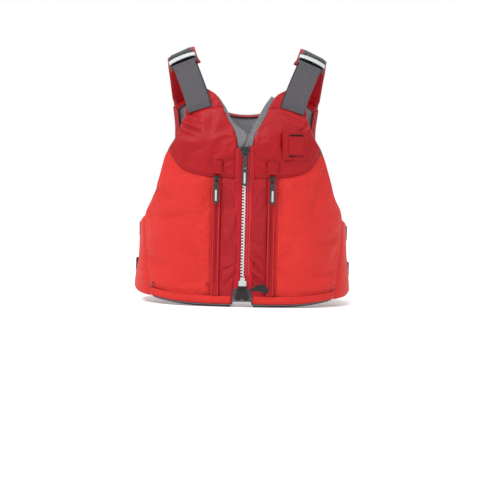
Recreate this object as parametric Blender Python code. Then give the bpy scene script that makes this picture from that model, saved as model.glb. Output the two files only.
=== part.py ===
"""Front-zip paddling life jacket, standing on its hem as if worn.

Frame: origin at the bottom centre, +Z up, the zip faces -Y and +X is the wearer's left. Metres.
The shape follows one body form: a rounded oval whose half width and depth change with height.
Panels are patches of that form, given by their edges as (x, z) outlines, with a thickness inwards.
"""

import math

import bmesh
import bpy
import numpy as np
from mathutils import Matrix, Vector

# Body form: (height, half width), (height, front depth) and (height, back depth)
HALF_WIDTH = ((0.0, 0.182), (0.03, 0.182), (0.076, 0.177), (0.138, 0.1735), (0.20, 0.170),
              (0.30, 0.165), (0.36, 0.160), (0.40, 0.155))
ZIP_LOW, ZIP_HIGH = 0.036, 0.262
FRONT_DEPTH = ((0.0, 0.1393), (ZIP_LOW, 0.1405), (0.15, 0.1443), (0.25, 0.1476),
               (ZIP_HIGH, 0.1475), (0.28, 0.1425), (0.30, 0.1335), (0.321, 0.121),
               (0.345, 0.105), (0.375, 0.080))
BACK_DEPTH = ((0.0, 0.132), (0.10, 0.122), (0.20, 0.130), (0.30, 0.131), (0.34, 0.1175),
              (0.375, 0.092))
OVAL_POWER = 2.5
FORM_Y = 0.0112  # the form's widest line, behind the middle of the box because the pulls stand out in front

# Outlines of the wearer's left side, (x, z)
ZIP_EDGE = 0.012
POCKET_ZIP = (0.0405, 0.0495)
HEM_BAND = 0.018
HEM_RISE, HEM_FLAT = 0.014, 0.06
NECK = ((ZIP_EDGE, 0.208), (ZIP_EDGE, 0.262), (0.015, 0.280), (0.026, 0.305), (0.037, 0.327))
NECK_TOP = ((0.037, 0.327), (0.050, 0.348), (0.066, 0.357))
YOKE_LOW = ((ZIP_EDGE, 0.208), (0.041, 0.211), (0.080, 0.214), (0.104, 0.223), (0.119, 0.241),
            (0.128, 0.257))
YOKE_TOP = ((0.037, 0.327), (0.060, 0.3255), (0.101, 0.315))
ARMHOLE_HIGH = ((0.128, 0.257), (0.118, 0.273), (0.107, 0.298), (0.101, 0.315))
SIDE_EDGE = ((0.153, 0.0), (0.1556, 0.025), (0.161, 0.062), (0.1645, 0.106), (0.166, 0.150),
             (0.152, 0.178), (0.144, 0.204), (0.137, 0.230), (0.128, 0.257))
BACK_EDGE = ((0.148, 0.0), (0.151, 0.08), (0.149, 0.150), (0.140, 0.190), (0.131, 0.240),
             (0.127, 0.290), (0.131, 0.330))
BACK_TOP = ((-0.131, 0.330), (-0.105, 0.349), (-0.078, 0.347), (-0.045, 0.329), (0.0, 0.321),
            (0.045, 0.329), (0.078, 0.347), (0.105, 0.349), (0.131, 0.330))
WING_FRONT_TURN = (80.0, 74.0)
WING_REAR_TURN = (88.0, 122.0)
WING_TOP = 0.147

# Layers, measured inwards from the form
SHELL = 0.0014
GAP = 0.0004
FRONT_FOAM, BACK_FOAM, CHEST_FOAM = 0.038, 0.034, 0.026
FOAM_TAPER = 0.040
LINING = 0.0014
WING_THICK = 0.006

# Zips
TOOTH_PITCH = 0.0048
TOOTH_SLOT = 0.0009
TOOTH_REACH = 0.0033
TAPE_EDGE = 0.0112
SLIDER_LENGTH = 0.015
MAIN_SLIDER_Z = 0.2535
POCKET_SLIDER_Z = 0.2085
RIGHT_ROW_TOP = 0.2445

# Shoulders: the strap's middle line, front to back, and its width direction's slope
SHOULDER_LINE = ((0.076, -0.1038, 0.321), (0.084, -0.0873, 0.345), (0.093, -0.069, 0.368),
                 (0.102, -0.047, 0.390), (0.108, -0.029, 0.405), (0.112, -0.008, 0.4165),
                 (0.1135, 0.013, 0.4205), (0.1135, 0.033, 0.4165), (0.112, 0.056, 0.402),
                 (0.109, 0.080, 0.380), (0.106, 0.1025, 0.3545))
SHOULDER_SLOPE = (-16.0, -26.0)
STRAP_WIDTH, STRAP_THICK = 0.038, 0.0022
BACK_SHOULDER_WIDTH, BACK_SHOULDER_THICK = 0.050, 0.0055
BUCKLE = (0.046, 0.031, 0.0045)
BUCKLE_SLOT = 0.0062

SIDE_STRAP_HEIGHTS = {"upper": 0.118, "lower": 0.056}
SIDE_STRAP_WIDTH = 0.025
LADDER = (0.030, 0.032, 0.004)
LADDER_TURN = 128.0

RED_RIPSTOP = (0.62, 0.045, 0.040)
RED_NYLON = (0.36, 0.022, 0.030)
GREY_WEBBING = (0.085, 0.080, 0.090)
GREY_LINING = (0.17, 0.17, 0.18)
BLACK = (0.012, 0.012, 0.014)
PALE_GREY = (0.55, 0.56, 0.58)
TOOTH_WHITE = (0.72, 0.72, 0.74)
FOAM_GREY = (0.45, 0.46, 0.48)


def clear_scene():
    for found in list(bpy.data.objects):
        bpy.data.objects.remove(found)


def material(name, colour, roughness=0.8, metallic=0.0):
    found = bpy.data.materials.get(name)
    if found:
        return found
    made = bpy.data.materials.new(name)
    made.use_nodes = True
    shader = made.node_tree.nodes["Principled BSDF"]
    shader.inputs["Base Color"].default_value = (*colour, 1.0)
    shader.inputs["Roughness"].default_value = roughness
    shader.inputs["Metallic"].default_value = metallic
    return made


def along(knots, values, at):
    """Smooth value at a place between knots."""
    knots, values = np.asarray(knots, float), np.asarray(values, float)
    slopes = np.gradient(values, knots)
    i = int(np.clip(np.searchsorted(knots, at) - 1, 0, len(knots) - 2))
    step = knots[i + 1] - knots[i]
    t = min(max((at - knots[i]) / step, 0.0), 1.0)
    start = values[i] * (2 * t**3 - 3 * t**2 + 1) + slopes[i] * step * (t**3 - 2 * t**2 + t)
    return start + values[i + 1] * (3 * t**2 - 2 * t**3) + slopes[i + 1] * step * (t**3 - t**2)


def profile(pairs, height):
    return along([p[0] for p in pairs], [p[1] for p in pairs], height)


def on_line(points, share):
    """Point at a share of the way along a smooth line through points."""
    points = np.asarray(points, float)
    steps = np.linalg.norm(np.diff(points, axis=0), axis=1)
    knots = np.concatenate([[0.0], np.cumsum(steps)]) / steps.sum()
    return np.array([along(knots, points[:, k], share) for k in range(points.shape[1])])


def hem(x):
    """Height of the bottom edge: flat in the middle and rising to the sides."""
    share = max(0.0, (abs(x) - HEM_FLAT) / (HALF_WIDTH[0][1] - HEM_FLAT))
    return HEM_RISE * share * share


def facing(x, z, back=False):
    """Point of the form in front or behind, at x and z."""
    inside = max(0.0, 1.0 - (abs(x) / profile(HALF_WIDTH, z)) ** OVAL_POWER)
    depth = profile(BACK_DEPTH if back else FRONT_DEPTH, z) * inside ** (1.0 / OVAL_POWER)
    return Vector((x, FORM_Y + (depth if back else -depth), z))


def around(turn, z):
    """Point of the form at a turn in degrees: 0 in front, 90 at the wearer's left, 180 behind."""
    angle = math.radians(turn)
    power = 2.0 / OVAL_POWER
    depth = BACK_DEPTH if turn > 90 else FRONT_DEPTH
    x = profile(HALF_WIDTH, z) * math.sin(angle) ** power
    y = profile(depth, z) * abs(math.cos(angle)) ** power
    return Vector((x, FORM_Y - math.copysign(y, math.cos(angle)), z))


def outward(place, u, z):
    """Unit normal of the form at place(u, z), pointing away from its middle."""
    step = 0.001 if place is not around else 0.4
    across = place(u + step, z) - place(u - step, z)
    up = place(u, z + 0.001) - place(u, z - 0.001)
    normal = across.cross(up).normalized()
    radial = Vector((place(u, z).x, place(u, z).y - FORM_Y, 0.0))
    return normal if normal.dot(radial) > 0 else -normal


def behind(x, z):
    return facing(x, z, back=True)


class Patch:
    """A grid of places and normals on the form, rows upwards and columns across."""

    def __init__(self, flat, place, side=1):
        self.places = np.array([[place(u, z) for u, z in row] for row in flat])
        self.normals = np.array([[outward(place, u, z) for u, z in row] for row in flat])
        self.places[..., 0] *= side
        self.normals[..., 0] *= side

    def level_foot(self):
        """Turns the lowest row's normals level, so that the foot is flat."""
        self.normals[0, :, 2] = 0.0
        self.normals[0] /= np.linalg.norm(self.normals[0], axis=-1, keepdims=True)
        return self

    def part(self, rows, columns, inset):
        """Part of the grid, its border moved in by inset = (low, high, first, last)."""
        places = self.places[rows, columns].copy()
        normals = self.normals[rows, columns].copy()
        for index, near, by in ((0, 1, inset[0]), (-1, -2, inset[1])):
            places[index] = moved(places[index], places[near], by)
        for index, near, by in ((0, 1, inset[2]), (-1, -2, inset[3])):
            places[:, index] = moved(places[:, index], places[:, near], by)
        return places, normals


def moved(edge, near, by):
    """Edge places moved towards their neighbours by a distance."""
    apart = near - edge
    return edge + apart * (by / np.linalg.norm(apart, axis=-1, keepdims=True))


def coons(bottom, right, top, left, columns, rows):
    """Flat grid (u, z) inside four smooth outlines; left and right run upwards."""
    corner = [on_line(bottom, 0), on_line(bottom, 1), on_line(top, 0), on_line(top, 1)]
    grid = []
    for v in np.linspace(0, 1, rows + 1):
        row = []
        for u in np.linspace(0, 1, columns + 1):
            ruled = (1 - v) * on_line(bottom, u) + v * on_line(top, u)
            ruled = ruled + (1 - u) * on_line(left, v) + u * on_line(right, v)
            mixed = (1 - v) * ((1 - u) * corner[0] + u * corner[1])
            row.append(ruled - mixed - v * ((1 - u) * corner[2] + u * corner[3]))
        grid.append(row)
    return grid


def placed_solid(name, grid, offsets, finish):
    """Closed solid between two offsets of a grid: offsets(row, column) gives outer and inner."""
    places, normals = grid
    rows, columns = places.shape[0] - 1, places.shape[1] - 1
    form = bmesh.new()
    bmesh.ops.create_grid(form, x_segments=columns, y_segments=rows, size=0.5)
    grown = bmesh.ops.extrude_face_region(form, geom=form.faces[:])
    for found in grown["geom"]:
        if isinstance(found, bmesh.types.BMVert):
            found.co.z = -1.0
    for point in form.verts:
        column = round((point.co.x + 0.5) * columns)
        row = round((point.co.y + 0.5) * rows)
        inwards = offsets(row, column)[1 if point.co.z < -0.5 else 0]
        point.co = Vector(places[row, column]) - Vector(normals[row, column]) * inwards
    return finished(name, form, finish)


def finished(name, form, finish, matrix=None):
    bmesh.ops.recalc_face_normals(form, faces=form.faces[:])
    if form.calc_volume(signed=True) < 0:
        bmesh.ops.reverse_faces(form, faces=form.faces[:])
    mesh = bpy.data.meshes.new(name)
    form.to_mesh(mesh)
    form.free()
    mesh.materials.append(finish)
    made = bpy.data.objects.new(name, mesh)
    bpy.context.scene.collection.objects.link(made)
    if matrix is not None:
        made.matrix_world = matrix
    return made


def layer(outer, thick):
    return lambda row, column: (outer, outer + thick)


def tapered(grid, outer, thick, edge=0.35):
    """Offsets of a foam insert that thins towards its border."""
    places = grid[0]
    rows, columns = places.shape[0] - 1, places.shape[1] - 1

    def offsets(row, column):
        borders = (places[0, column], places[rows, column], places[row, 0], places[row, columns])
        near = min(np.linalg.norm(places[row, column] - border) for border in borders)
        share = min(1.0, near / FOAM_TAPER)
        return outer, outer + thick * (edge + (1 - edge) * math.sin(share * math.pi / 2))
    return offsets


def front_grid():
    """Lower front: zip side, pocket zip and pocket side share the same rows."""
    def top_at(x):
        share = (x - ZIP_EDGE) / (YOKE_LOW[-1][0] - ZIP_EDGE)
        for _ in range(30):
            share += (x - on_line(YOKE_LOW, share)[0]) / 0.13
            share = min(max(share, 0.0), 1.0)
        return on_line(YOKE_LOW, share)[1]

    inner = [ZIP_EDGE, 0.026, *POCKET_ZIP]
    lines = []
    for x in inner:
        lines.append([(x, hem(x)), (x, hem(x) + HEM_BAND), (x, top_at(x))])
    bottom = ((POCKET_ZIP[1], HEM_BAND), (0.100, HEM_BAND + 0.0015), (0.1555, HEM_BAND + 0.009))
    top = [(POCKET_ZIP[1], top_at(POCKET_ZIP[1]))] + list(YOKE_LOW[2:])
    side = [SIDE_EDGE[1]] + list(SIDE_EDGE[2:])
    side[0] = bottom[-1]
    left = (bottom[0], top[0])
    outer = coons(bottom, side, top, left, 6, 10)
    grid = []
    heights = np.linspace(0, 1, 11)
    low = [(line[0][0], line[0][1]) for line in lines]
    low += [(u, hem(u)) for u, _ in outer[0][1:-1]] + [(SIDE_EDGE[0][0], hem(SIDE_EDGE[0][0]))]
    grid.append(low)
    for v, row in zip(heights, outer):
        near = [(line[1][0], line[1][1] + v * (line[2][1] - line[1][1])) for line in lines[:3]]
        grid.append(near + [tuple(point) for point in row])
    return grid


def back_grid():
    right = BACK_EDGE
    left = tuple((-x, z) for x, z in BACK_EDGE)
    band = (right[0][0] + 0.0012, hem(right[0][0]) + HEM_BAND)
    right = (band,) + right[1:]
    left = ((-band[0], band[1]),) + left[1:]
    bottom = ((-band[0], band[1]), (-0.075, HEM_BAND), (0.0, HEM_BAND), (0.075, HEM_BAND), band)
    grid = coons(bottom, right, BACK_TOP, left, 14, 9)
    return [[(u, hem(u)) for u, _ in grid[0]]] + grid


def wing_grid(front):
    """Side wing from the seam to the hinge line, or from there to the back panel."""
    grid = []
    for v in np.linspace(0, 1, 6):
        row = []
        for u in np.linspace(0, 1, 4 if front else 6):
            z = 0.004 + v * (WING_TOP - 0.004)
            if front:
                x = along([p[1] for p in SIDE_EDGE[:5]], [p[0] for p in SIDE_EDGE[:5]], z)
                share = (x / profile(HALF_WIDTH, z)) ** (OVAL_POWER / 2)
                start = math.degrees(math.asin(share)) + 0.6
                end = WING_FRONT_TURN[0] + v * (WING_FRONT_TURN[1] - WING_FRONT_TURN[0])
            else:
                start, end = WING_REAR_TURN
            turn = start + u * (end - start)
            x = around(turn, z).x
            row.append((turn, max(hem(x) * (1 - v), 0.0) + z))
        grid.append(row)
    return grid


def ribbon(name, points, slopes, width, thick, finish, side, lift=0.0, steps=6):
    """Flat strap along a line, its width sloping down outwards by the angles in slopes."""
    shares = np.linspace(0, 1, steps + 1)
    places = np.zeros((steps + 1, 2, 3))
    normals = np.zeros_like(places)
    for i, share in enumerate(shares):
        middle, along_strap, across, normal = strap_frame(points, slopes, share)
        for k, half in enumerate((-width / 2, width / 2)):
            places[i, k] = middle + across * half
            normals[i, k] = normal
    places[..., 0] *= side
    normals[..., 0] *= side
    return placed_solid(name, (places, normals), layer(-lift - thick, thick), finish)


def strap_frame(points, slopes, share):
    """Middle, direction, width direction and outward normal of a strap."""
    middle = Vector(on_line(points, share))
    ahead, before = on_line(points, min(share + 0.02, 1)), on_line(points, max(share - 0.02, 0))
    direction = Vector(ahead - before).normalized()
    slope = math.radians(slopes[0] + share * (slopes[1] - slopes[0]))
    across = Vector((math.cos(slope), 0.0, math.sin(slope)))
    across = (across - direction * across.dot(direction)).normalized()
    return middle, direction, across, across.cross(direction).normalized()


def box_at(name, size, matrix, finish, bevel=0.0):
    form = bmesh.new()
    bmesh.ops.create_cube(form, size=1.0, matrix=Matrix.Diagonal((*size, 1.0)))
    made = finished(name, form, finish, matrix)
    if bevel:
        modifier = made.modifiers.new("edges", "BEVEL")
        modifier.width = bevel
        modifier.segments = 1
    return made


def cut(target, cutter):
    cutter.hide_render = True
    cutter.display_type = "WIRE"
    modifier = target.modifiers.new("cut", "BOOLEAN")
    modifier.operation = "DIFFERENCE"
    modifier.object = cutter


def join(target, other):
    other.hide_render = True
    other.display_type = "WIRE"
    modifier = target.modifiers.new("join", "BOOLEAN")
    modifier.operation = "UNION"
    modifier.object = other


def prism(name, outline, low, high, axes, matrix, finish):
    """Outline drawn on two axes and extruded along the third from low to high."""
    third = 3 - sum(axes)
    form = bmesh.new()
    corners = []
    for a, b in outline:
        place = [0.0, 0.0, 0.0]
        place[axes[0]], place[axes[1]], place[third] = a, b, low
        corners.append(form.verts.new(place))
    face = form.faces.new(corners)
    grown = bmesh.ops.extrude_face_region(form, geom=[face])
    shift = [0.0, 0.0, 0.0]
    shift[third] = high - low
    moving = [found for found in grown["geom"] if isinstance(found, bmesh.types.BMVert)]
    bmesh.ops.translate(form, verts=moving, vec=shift)
    return finished(name, form, finish, matrix)


def upright(place, up, normal):
    """Matrix at place whose Z runs up and whose -Y runs along the normal."""
    z = up.normalized()
    y = -(normal - z * normal.dot(z)).normalized()
    x = y.cross(z)
    return Matrix.Translation(place) @ Matrix((x, y, z)).transposed().to_4x4()


def zip_matrix(x, height):
    """Frame on a zip line at x: the line is straight from its low to its high end."""
    low, high = facing(x, ZIP_LOW), facing(x, ZIP_HIGH if x == 0 else POCKET_SLIDER_Z)
    share = (height - low.z) / (high.z - low.z)
    normal = outward(facing, x, height)
    return upright(low.lerp(high, share), high - low, normal)


def mirrored(matrix, side):
    """The same frame on the other side of the jacket, still right-handed."""
    if side > 0:
        return matrix
    flip = Matrix.Diagonal((-1.0, 1.0, 1.0, 1.0))
    return flip @ matrix @ flip


def comb(side, low, high):
    """Outline of a row of zip teeth on its cord, x against z."""
    root, tip = 0.0023, TOOTH_SLOT
    outline = [(side * TOOTH_REACH, low), (side * TOOTH_REACH, high), (side * root, high)]
    count = int((high - low) / TOOTH_PITCH)
    for k in range(count):
        top = high - 0.0006 - k * TOOTH_PITCH
        outline += [(side * root, top), (side * tip, top - 0.0004)]
        outline += [(side * tip, top - 0.0024), (side * root, top - 0.0028)]
    outline.append((side * root, low))
    return outline


def slider_parts(name, scale, with_channel, matrix, finish):
    """Zip slider: plates round a post, and a bail that holds the pull."""
    half, length = 0.0078 * scale, SLIDER_LENGTH * scale
    front, back = -0.0042, -0.0020
    profile_points = [(-half, front), (half, front), (half, back)]
    if with_channel:
        profile_points += [(0.0005, back), (0.0005, 0.0019), (half, 0.0019), (half, 0.0031),
                           (-half, 0.0031), (-half, 0.0019), (-0.0005, 0.0019), (-0.0005, back)]
    profile_points.append((-half, back))
    body = prism(name, profile_points, -length / 2, length / 2, (0, 1), matrix, finish)
    outer, inner = 0.0045, 0.0027
    arch = [(-0.0036, outer), (-0.0080, outer), (-0.0094, outer - 0.0014),
            (-0.0094, 0.0014 - outer), (-0.0080, -outer), (-0.0036, -outer), (-0.0036, -inner),
            (-0.0086, -inner), (-0.0086, inner), (-0.0036, inner)]
    join(body, prism(name + "_bail", arch, -0.0011, 0.0011, (1, 2), matrix, finish))
    return body


def pull_parts(name, width, length, matrix, finish):
    """Flat pull with a window whose top bar runs through the bail."""
    half = width / 2
    outline = [(-half + 0.001, 0.0010), (half - 0.001, 0.0010), (half, 0.0), (half, -length + 0.002),
               (half - 0.002, -length), (-half + 0.002, -length), (-half, -length + 0.002),
               (-half, 0.0)]
    body = prism(name, outline, -0.0010, 0.0010, (0, 2), matrix, finish)
    window = [(-0.0020, -0.0010), (0.0020, -0.0010), (0.0020, -0.0085), (-0.0020, -0.0085)]
    cut(body, prism(name + "_window", window, -0.004, 0.004, (0, 2), matrix, finish))
    return body


def build_front(side, word):
    """One front half with everything that swings with it."""
    ripstop = material("red_ripstop", RED_RIPSTOP)
    nylon = material("red_nylon", RED_NYLON, 0.6)
    foam = material("foam", FOAM_GREY, 0.9)
    lining = material("grey_lining", GREY_LINING)
    patch = Patch(front_grid(), facing, side).level_foot()
    rows, all_columns = slice(1, None), slice(None)
    edge = 0.0004
    low = patch.part(slice(0, 2), all_columns, (0, edge, edge, 0.001))
    placed_solid(f"hem_front_{word}", low, layer(0.0, 0.014), ripstop)
    for name, columns in (("center_panel", slice(0, 3)), ("pocket_panel", slice(3, None))):
        piece = patch.part(rows, columns, (edge, 0.001, edge, 0.001))
        placed_solid(f"{name}_{word}", piece, layer(0.0, SHELL), ripstop)
    tape = patch.part(rows, slice(2, 4), (edge, 0.001, edge, edge))
    placed_solid(f"pocket_zip_tape_{word}", tape, layer(0.0, SHELL), nylon)
    stuffing = patch.part(rows, all_columns, (edge, 0.002, edge, 0.002))
    outer = SHELL + GAP
    offsets = tapered(stuffing, outer, FRONT_FOAM)
    placed_solid(f"front_foam_{word}", stuffing, offsets, foam)
    inside = offsets_behind(offsets, LINING)
    placed_solid(f"front_lining_{word}", stuffing, inside, lining)
    yoke = Patch(coons(YOKE_LOW, ARMHOLE_HIGH, YOKE_TOP, NECK, 6, 6), facing, side)
    cover = yoke.part(all_columns, all_columns, (0.001, 0.0006, edge, 0.0))
    placed_solid(f"chest_yoke_{word}", cover, layer(0.0, SHELL), nylon)
    chest = yoke.part(all_columns, all_columns, (0.003, 0.002, 0.002, 0.002))
    placed_solid(f"chest_foam_{word}", chest, tapered(chest, outer, CHEST_FOAM), foam)
    sides = ((0.101, 0.315), (0.099, 0.334))
    tongue = coons(YOKE_TOP, sides, ((0.066, 0.357), (0.099, 0.334)), NECK_TOP, 4, 3)
    tongue = Patch(tongue, facing, side).part(all_columns, all_columns, (0.0006, 0, 0, 0))
    placed_solid(f"neck_tongue_{word}", tongue, layer(0.0, 0.004), nylon)
    wing = Patch(wing_grid(True), around, side).part(all_columns, all_columns, (0, 0, 0.002, 0))
    placed_solid(f"side_wing_front_{word}", wing, layer(0.0, WING_THICK), ripstop)


def offsets_behind(offsets, thick):
    """A thin layer just behind another layer's inner face."""
    def behind_it(row, column):
        inner = offsets(row, column)[1] + GAP
        return inner, inner + thick
    return behind_it


def build_back():
    ripstop = material("red_ripstop", RED_RIPSTOP)
    nylon = material("red_nylon", RED_NYLON, 0.6)
    lining = material("grey_lining", GREY_LINING)
    patch = Patch(back_grid(), behind).level_foot()
    rows, whole = slice(1, None), slice(None)
    edge = 0.0004
    low = patch.part(slice(0, 2), whole, (0, edge, 0.001, 0.001))
    placed_solid("hem_back", low, layer(0.0, 0.014), ripstop)
    cover = patch.part(rows, whole, (edge, 0.0, 0.001, 0.001))
    placed_solid("back_shell", cover, layer(0.0, SHELL), nylon)
    stuffing = patch.part(rows, whole, (edge, 0.002, 0.003, 0.003))
    offsets = tapered(stuffing, SHELL + GAP, BACK_FOAM)
    placed_solid("back_foam", stuffing, offsets, material("foam", FOAM_GREY, 0.9))
    placed_solid("back_lining", stuffing, offsets_behind(offsets, LINING), lining)
    for side, word in ((1, "left"), (-1, "right")):
        wing = Patch(wing_grid(False), around, side).part(whole, whole, (0, 0, 0, 0.0015))
        placed_solid(f"side_wing_rear_{word}", wing, layer(0.0, WING_THICK), ripstop)
        build_shoulder(side, word)
        for level, height in SIDE_STRAP_HEIGHTS.items():
            build_side_strap(side, word, level, height)


def stretch(low, high):
    """Part of the shoulder line between two shares of it."""
    return [on_line(SHOULDER_LINE, share) for share in np.linspace(low, high, 6)]


def slope_at(share):
    return SHOULDER_SLOPE[0] + min(1.0, share / 0.5) * (SHOULDER_SLOPE[1] - SHOULDER_SLOPE[0])


def build_shoulder(side, word):
    webbing = material("grey_webbing", GREY_WEBBING)
    nylon = material("red_nylon", RED_NYLON, 0.6)
    parts = (("shoulder_strap", 0.0, 0.235, STRAP_WIDTH, STRAP_THICK, 0.002, webbing),
             ("shoulder_strap_top", 0.275, 0.315, STRAP_WIDTH, STRAP_THICK, 0.002, webbing),
             ("back_shoulder", 0.335, 1.0, BACK_SHOULDER_WIDTH, BACK_SHOULDER_THICK, -0.0055, nylon))
    for name, low, high, width, thick, lift, finish in parts:
        slopes = (slope_at(low), slope_at(high))
        ribbon(f"{name}_{word}", stretch(low, high), slopes, width, thick, finish, side, lift)
    matrix = mirrored(buckle_matrix(), side)
    buckle = box_at(f"shoulder_buckle_{word}", BUCKLE, matrix, material("black", BLACK, 0.4), 0.0012)
    for place in (-0.0065, 0.0065):
        slot = matrix @ Matrix.Translation((0, place, 0))
        size = (STRAP_WIDTH + 0.001, BUCKLE_SLOT, 0.02)
        cut(buckle, box_at(f"buckle_slot_{word}_{place}", size, slot, material("black", BLACK)))


def buckle_matrix():
    """Buckle frame: X across the strap, Y back along it, Z outwards."""
    share = 0.395
    slopes = (slope_at(share), slope_at(share))
    middle, direction, across, normal = strap_frame(SHOULDER_LINE, slopes, share)
    place = middle + normal * (0.0012 + BUCKLE[2] / 2)
    axes = Matrix((across, direction, normal)).transposed().to_4x4()
    return Matrix.Translation(place) @ axes


def build_side_strap(side, word, level, height):
    webbing = material("grey_webbing", GREY_WEBBING)
    low, high = height - SIDE_STRAP_WIDTH / 2, height + SIDE_STRAP_WIDTH / 2
    flat = [[(turn, z) for turn in np.linspace(93.0, 121.0, 5)] for z in (low, high)]
    strap = Patch(flat, around, side).part(slice(None), slice(None), (0, 0, 0, 0))
    placed_solid(f"side_strap_{level}_{word}", strap, layer(-0.0030, 0.0016), webbing)
    normal = outward(around, LADDER_TURN, height)
    matrix = upright(around(LADDER_TURN, height) + normal * 0.0042, Vector((0, 0, 1)), normal)
    matrix = mirrored(matrix, side)
    size = (LADDER[0], LADDER[2], LADDER[1])
    black = material("black", BLACK, 0.4)
    name = f"side_adjuster_{level}_{word}"
    body = box_at(name, size, matrix, black, 0.0010)
    for place in (-0.0065, 0.0065):
        slot = matrix @ Matrix.Translation((place, 0, 0))
        cut(body, box_at(f"{name}_slot_{place}", (0.005, 0.02, 0.0262), slot, black))


def build_zip():
    nylon = material("red_nylon", RED_NYLON, 0.6)
    white = material("tooth_white", TOOTH_WHITE, 0.35)
    pale = material("pale_grey", PALE_GREY, 0.4)
    black = material("black", BLACK, 0.4)
    origin = zip_matrix(0, 0.0)
    tall = 1.0 / origin.col[2].z
    for side, word, top in ((1, "left", ZIP_HIGH), (-1, "right", RIGHT_ROW_TOP)):
        low, high = ZIP_LOW * tall, top * tall
        tape = [(side * 0.0037, low), (side * TAPE_EDGE, low), (side * TAPE_EDGE, high),
                (side * 0.0037, high)]
        prism(f"zip_tape_{word}", tape, -0.0006, 0.0004, (0, 2), origin, nylon)
        row = comb(side, low + 0.0125, high)
        prism(f"zip_teeth_{word}", row, -0.0012, 0.0012, (0, 2), origin, white)
        tab = [(side * 0.0006, 0.033), (side * 0.0006, 0.012), (side * 0.0075, 0.0105),
               (side * 0.0105, 0.015), (side * 0.0095, 0.025), (side * 0.006, 0.033)]
        prism(f"zip_end_tab_{word}", tab, -0.0016, 0.0, (0, 2), origin, black)
    box_at("zip_box", (0.0056, 0.0044, 0.0125),
           origin @ Matrix.Translation((0.0033, -0.003, 0.0415)), pale, 0.0006)
    box_at("zip_pin", (0.0026, 0.0024, 0.0125),
           origin @ Matrix.Translation((-0.0022, 0.0, 0.0415)), pale, 0.0004)
    matrix = zip_matrix(0, MAIN_SLIDER_Z)
    slider_parts("zip_slider", 1.0, True, matrix, black)
    hook = matrix @ Matrix.Translation((0, -0.0062, 0))
    pull_parts("zip_pull", 0.0090, 0.056, hook, black)
    for side, word in ((1, "left"), (-1, "right")):
        middle = (POCKET_ZIP[0] + POCKET_ZIP[1]) / 2
        matrix = mirrored(zip_matrix(middle, POCKET_SLIDER_Z), side)
        matrix = matrix @ Matrix.Translation((0, -0.0002, 0))
        lifted = matrix @ Matrix.Translation((0, 0.0006, 0))
        slider_parts(f"pocket_slider_{word}", 0.62, False, lifted, black)
        hook = lifted @ Matrix.Translation((0, -0.0062, 0))
        pull_parts(f"pocket_pull_{word}", 0.0090, 0.040, hook, black)


def build_patches():
    """Lash tab on the chest and leaf patch by the zip, both on the wearer's left."""
    nylon = material("red_nylon", RED_NYLON, 0.6)
    black = material("black", BLACK, 0.6)
    normal = outward(facing, 0.0815, 0.2635)
    matrix = upright(facing(0.0815, 0.2635) + normal * 0.0016, Vector((0, 0, 1)), normal)
    tab = box_at("lash_tab", (0.046, 0.0018, 0.046), matrix, nylon)
    for place in (-0.017, 0.017):
        slot = matrix @ Matrix.Translation((0, 0, place))
        cut(tab, box_at(f"lash_slot_{place}", (0.024, 0.02, 0.0022), slot, nylon))
    normal = outward(facing, 0.029, 0.030)
    matrix = upright(facing(0.029, 0.030) + normal * 0.0004, Vector((0, 0, 1)), normal)
    leaf = [(-0.0110, -0.0005), (-0.006, 0.0045), (0.0, 0.0077), (0.006, 0.0072),
            (0.0110, 0.0035), (0.0105, -0.0065), (0.0, -0.0035)]
    prism("drain_flap", leaf, -0.0012, -0.0004, (0, 2), matrix, black)


def main():
    clear_scene()
    build_back()
    build_front(1, "left")
    build_front(-1, "right")
    build_zip()
    build_patches()
    bpy.context.view_layer.update()


main()
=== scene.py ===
"""Looks of a front-zip paddling life jacket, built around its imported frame.

The jacket stands on its hem, with the zip facing -Y and the wearer's left at +X. Metres.
Soft panels are patches of one body form, sewn at their edges and eased by cloth simulation.
"""

import logging
import math
from bisect import bisect_left
from collections.abc import Callable, Sequence
from dataclasses import dataclass, field
from enum import Enum
from functools import lru_cache

import bmesh
import bpy
import numpy as np
from mathutils import Matrix, Vector, noise


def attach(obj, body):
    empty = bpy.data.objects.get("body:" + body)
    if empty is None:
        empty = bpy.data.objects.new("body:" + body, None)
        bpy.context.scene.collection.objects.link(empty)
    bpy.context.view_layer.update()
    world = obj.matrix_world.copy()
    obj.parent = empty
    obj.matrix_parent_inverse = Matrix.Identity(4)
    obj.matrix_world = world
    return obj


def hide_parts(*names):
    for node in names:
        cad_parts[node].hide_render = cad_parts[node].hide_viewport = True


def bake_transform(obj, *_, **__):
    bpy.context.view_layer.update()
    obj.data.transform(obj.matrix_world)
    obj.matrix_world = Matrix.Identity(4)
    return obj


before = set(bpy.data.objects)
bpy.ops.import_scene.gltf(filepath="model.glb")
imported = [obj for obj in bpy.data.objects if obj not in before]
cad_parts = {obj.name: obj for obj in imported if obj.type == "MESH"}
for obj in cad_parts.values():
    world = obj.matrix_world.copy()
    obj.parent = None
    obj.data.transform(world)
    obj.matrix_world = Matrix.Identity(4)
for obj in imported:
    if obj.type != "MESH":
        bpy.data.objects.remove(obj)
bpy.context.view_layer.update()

LOG = logging.getLogger("life_jacket")
SIDES = ((1, "left"), (-1, "right"))
Line = Sequence[Sequence[float]]

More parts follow.
